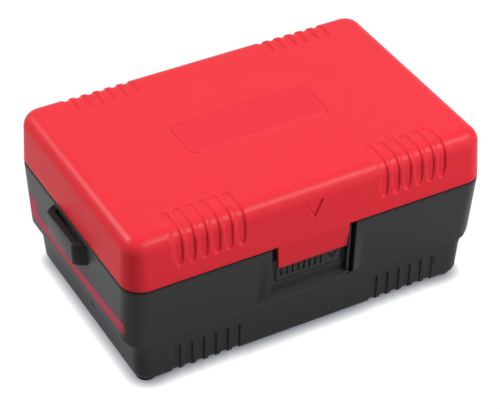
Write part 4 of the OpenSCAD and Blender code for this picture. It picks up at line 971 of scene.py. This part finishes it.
def makeTestCap(spec):
    # a turned cap, hollow below with a stem, its top edge rounded and its top dished
    stem, stemLow, under, inside = pick(spec, "stem stemLow under inside")
    flange, flangeLow, flangeTop, r = pick(spec, "flange flangeLow flangeTop radius")
    flat = r - spec["round"]
    dish = np.linspace(1, 0, 10)[1:, None] * [flat - spec["dishIn"], 0] + [0, spec["top"]]
    dish[:, 1] -= spec["dish"] * (1 - (dish[:, 0] / flat) ** 2)
    inner = [(0, stemLow), (stem, stemLow), (stem, under), (inside, under), (inside, flangeLow),
             (flange, flangeLow), (flange, flangeTop), (r, flangeTop)]
    edge = roundEdge(r, spec["top"], spec["round"], 8)
    return lathe(join([inner, edge, dish]), (*panelSpec["test"], 0), 72)


makePiece("testCap", [makeTestCap(testSpec)], "test_key", "orange_plastic", ["test_button"])

springSpec = {"radius": 3.1, "wire": 0.35, "low": 38.4, "high": 44.5, "turns": 4.0, "travel": 3.0}


def makeSpring(spec, x, y):
    # a wire wound round the z axis: rings along the helix, drawn to a point at both ends
    share, ring, thick = np.linspace(0, 1, 140)[:, None], circle(10), spec["wire"]
    turn = 4 * quarter * spec["turns"] * share
    wire = np.where((share > 0) & (share < 1), thick, 0)
    out = spec["radius"] + wire * np.cos(ring)
    z = spec["low"] + thick + (spec["high"] - spec["low"] - 2 * thick) * share - wire * np.sin(ring)
    return shell(stack(x + out * np.cos(turn), y + out * np.sin(turn), z))


springX, springY = panelSpec["test"]
coil = makeSpring(springSpec, springX, springY)
spring = makePiece("testSpring", [coil], "case", "steel", ["test_spring"])
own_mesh(spring)

keySpec = {"rows": ((0, 0, 0, 38.9), (7.4, 4.9, 0.4, 38.9), (7.4, 4.9, 0.4, 40.4), (6.0, 3.5, 1.0, 40.4),
                    (6.0, 3.5, 1.0, 43.75), (5.92, 3.42, 0.92, 43.98), (5.7, 3.2, 0.75, 44.14),
                    (5.4, 2.9, 0.6, 44.2), (4.6, 2.3, 0.5, 44.16), (3.0, 1.5, 0.4, 44.05), (0, 0, 0, 44.0)),
           "stem": 1.5, "stemLow": 36.8, "stemTop": 39.1}


def makeKey(spec, at):
    # rounded rectangles stacked up to a softly dished top, with a round stem below
    cols = columnsAround(np.linspace(-1, 1, 9), np.linspace(-1, 1, 7), 6)
    cap = around(cols, *np.array(spec["rows"]).T, 1, 1) + [*at, 0]
    r, low, top = spec["stem"], spec["stemLow"], spec["stemTop"]
    return [shell(cap), lathe([(0, low), (r, low), (r, top), (0, top)], (*at, 0), 32)]


for key, at in panelSpec["keys"].items():
    makePiece(key + "Key", makeKey(keySpec, at), key + "_key", "key_grey", [key + "_button"], crease=40)

socketSpec = {
    "bore": 3.04, "body": 4.22, "flange": 6.6, "low": 26.0, "seat": 43.0, "top": 45.0, "round": 0.6,
    "lip": (4.6, 4.3, 3.6), "lipDeep": 0.3}


def makeSocket(spec, x):
    # a turned sleeve with a round-edged flange and a lead-in round its bore
    bore, body, flange, low, seat, top = pick(spec, "bore body flange low seat top")
    lipOut, *lipIn = spec["lip"]
    lip = [(lipOut, top)] + [(r, top - spec["lipDeep"]) for r in (*lipIn, bore)]
    foot = [(bore, low), (body, low), (body, seat), (flange, seat)]
    profile = join([foot, roundEdge(flange, top, spec["round"], 6), lip])
    return lathe(profile, (x, panelSpec["socketY"], 0), 64)


for (label, x), finish in zip(panelSpec["sockets"].items(), ("socket_red", "socket_green", "black_plastic")):
    makePiece(label + "Socket", [makeSocket(socketSpec, x)], "case", finish, ["socket_" + label])

displaySpec = {
    "digits": 4, "left": -51.0, "low": 10.5, "pitch": 12.2, "size": (7.0, 13.5), "lean": 0.10, "bar": 1.2,
    "gap": 0.9, "dot": (1.8, 0.6), "z": 40.3, "scale": (-52.0, -4.0, 49), "scaleY": 4.2, "ticks": (1.4, 2.4),
    "longEvery": 6, "tickLine": 0.45}


def makeSegments(spec):
    # seven bars a digit between six corner points, a point after each, and a scale of ticks below
    w, h = spec["size"]
    points = np.array([(0, h), (w, h), (w, h / 2), (w, 0), (0, 0), (0, h / 2)])
    pairs = ((0, 1), (1, 2), (2, 3), (3, 4), (4, 5), (5, 0), (5, 2))
    z, (dotX, dotHalf), bars = spec["z"], spec["dot"], []
    for digit in range(spec["digits"]):
        base = np.array([spec["left"] + digit * spec["pitch"], spec["low"]])
        for a, b in pairs:
            way = (points[b] - points[a]) / np.linalg.norm(points[b] - points[a])
            ends = np.array([points[a] + way * spec["gap"], points[b] - way * spec["gap"]])
            ends[:, 0] += spec["lean"] * ends[:, 1]
            bars.append(inkBand(ends + base, spec["bar"], z))
        bars.append(inkBand([base + [w + dotX + s * dotHalf, 0.0] for s in (-1, 1)], spec["bar"], z))
    y = spec["scaleY"]
    for k, x in enumerate(np.linspace(*spec["scale"])):
        tall = spec["ticks"][k % spec["longEvery"] == 0]
        bars.append(inkBand([(x, y), (x, y + tall)], spec["tickLine"], z))
    return bars


makePiece("displaySegments", makeSegments(displaySpec), "case", "lcd", material=displayInk)
print("panel ready")

# Floor: white to the eye, with painted shade from ambient occlusion in its glow close to the object, greyer
# in what it throws back

floorSpec = {
    "half": 6.0, "bounce": (0.18, 0.18, 0.19, 1), "tone": (0.14, 0.14, 0.145, 1),
    "shade": (0.12, 0.145, 0.17, 1), "lit": (0.92, 0.92, 0.92, 1), "reach": 4.5, "mirrorReach": 30.0,
    "power": 1.7, "samples": 32, "rough": 0.9}


def makeFloor(spec):
    gx, gy = np.meshgrid([-spec["half"], spec["half"]], [-spec["half"], spec["half"]])
    verts, quads = shell(stack(gx, gy, 0), wrap=False)
    mesh = bpy.data.meshes.new("floor")
    mesh.from_pydata(verts.tolist(), [], quads.tolist())
    floor = addObject("floor", mesh)
    material = bpy.data.materials.new("paleFloor")
    material.use_nodes = True
    tree = material.node_tree
    seen, further = seenFactor(tree), (spec["mirrorReach"] - spec["reach"]) * mm
    # the painted shade reaches further in reflections, where only its soft outer part shows
    mirror = newNode(tree, "LightPath", {})["Is Glossy Ray"]
    near = tree.nodes.new("ShaderNodeAmbientOcclusion")
    near.samples = spec["samples"]
    reach = mathNode(tree, "MULTIPLY_ADD", mirror, further, spec["reach"] * mm)
    # painted shadow: ambient occlusion near the object turns the floor's glow towards the shade colour
    clear = mathNode(tree, "POWER", fillNode(tree, near, {"Distance": reach})["AO"], spec["power"])
    fillNode(tree, tree.nodes["Principled BSDF"], {
        "Base Color": mixNode(tree, seen, spec["bounce"], spec["tone"]),
        "Emission Color": mixNode(tree, clear, spec["shade"], spec["lit"]), "Emission Strength": seen,
        "Roughness": spec["rough"], "Specular IOR Level": 0.0})
    mesh.materials.append(material)


makeFloor(floorSpec)

scene = bpy.context.scene
scene.view_settings.view_transform = "Standard"
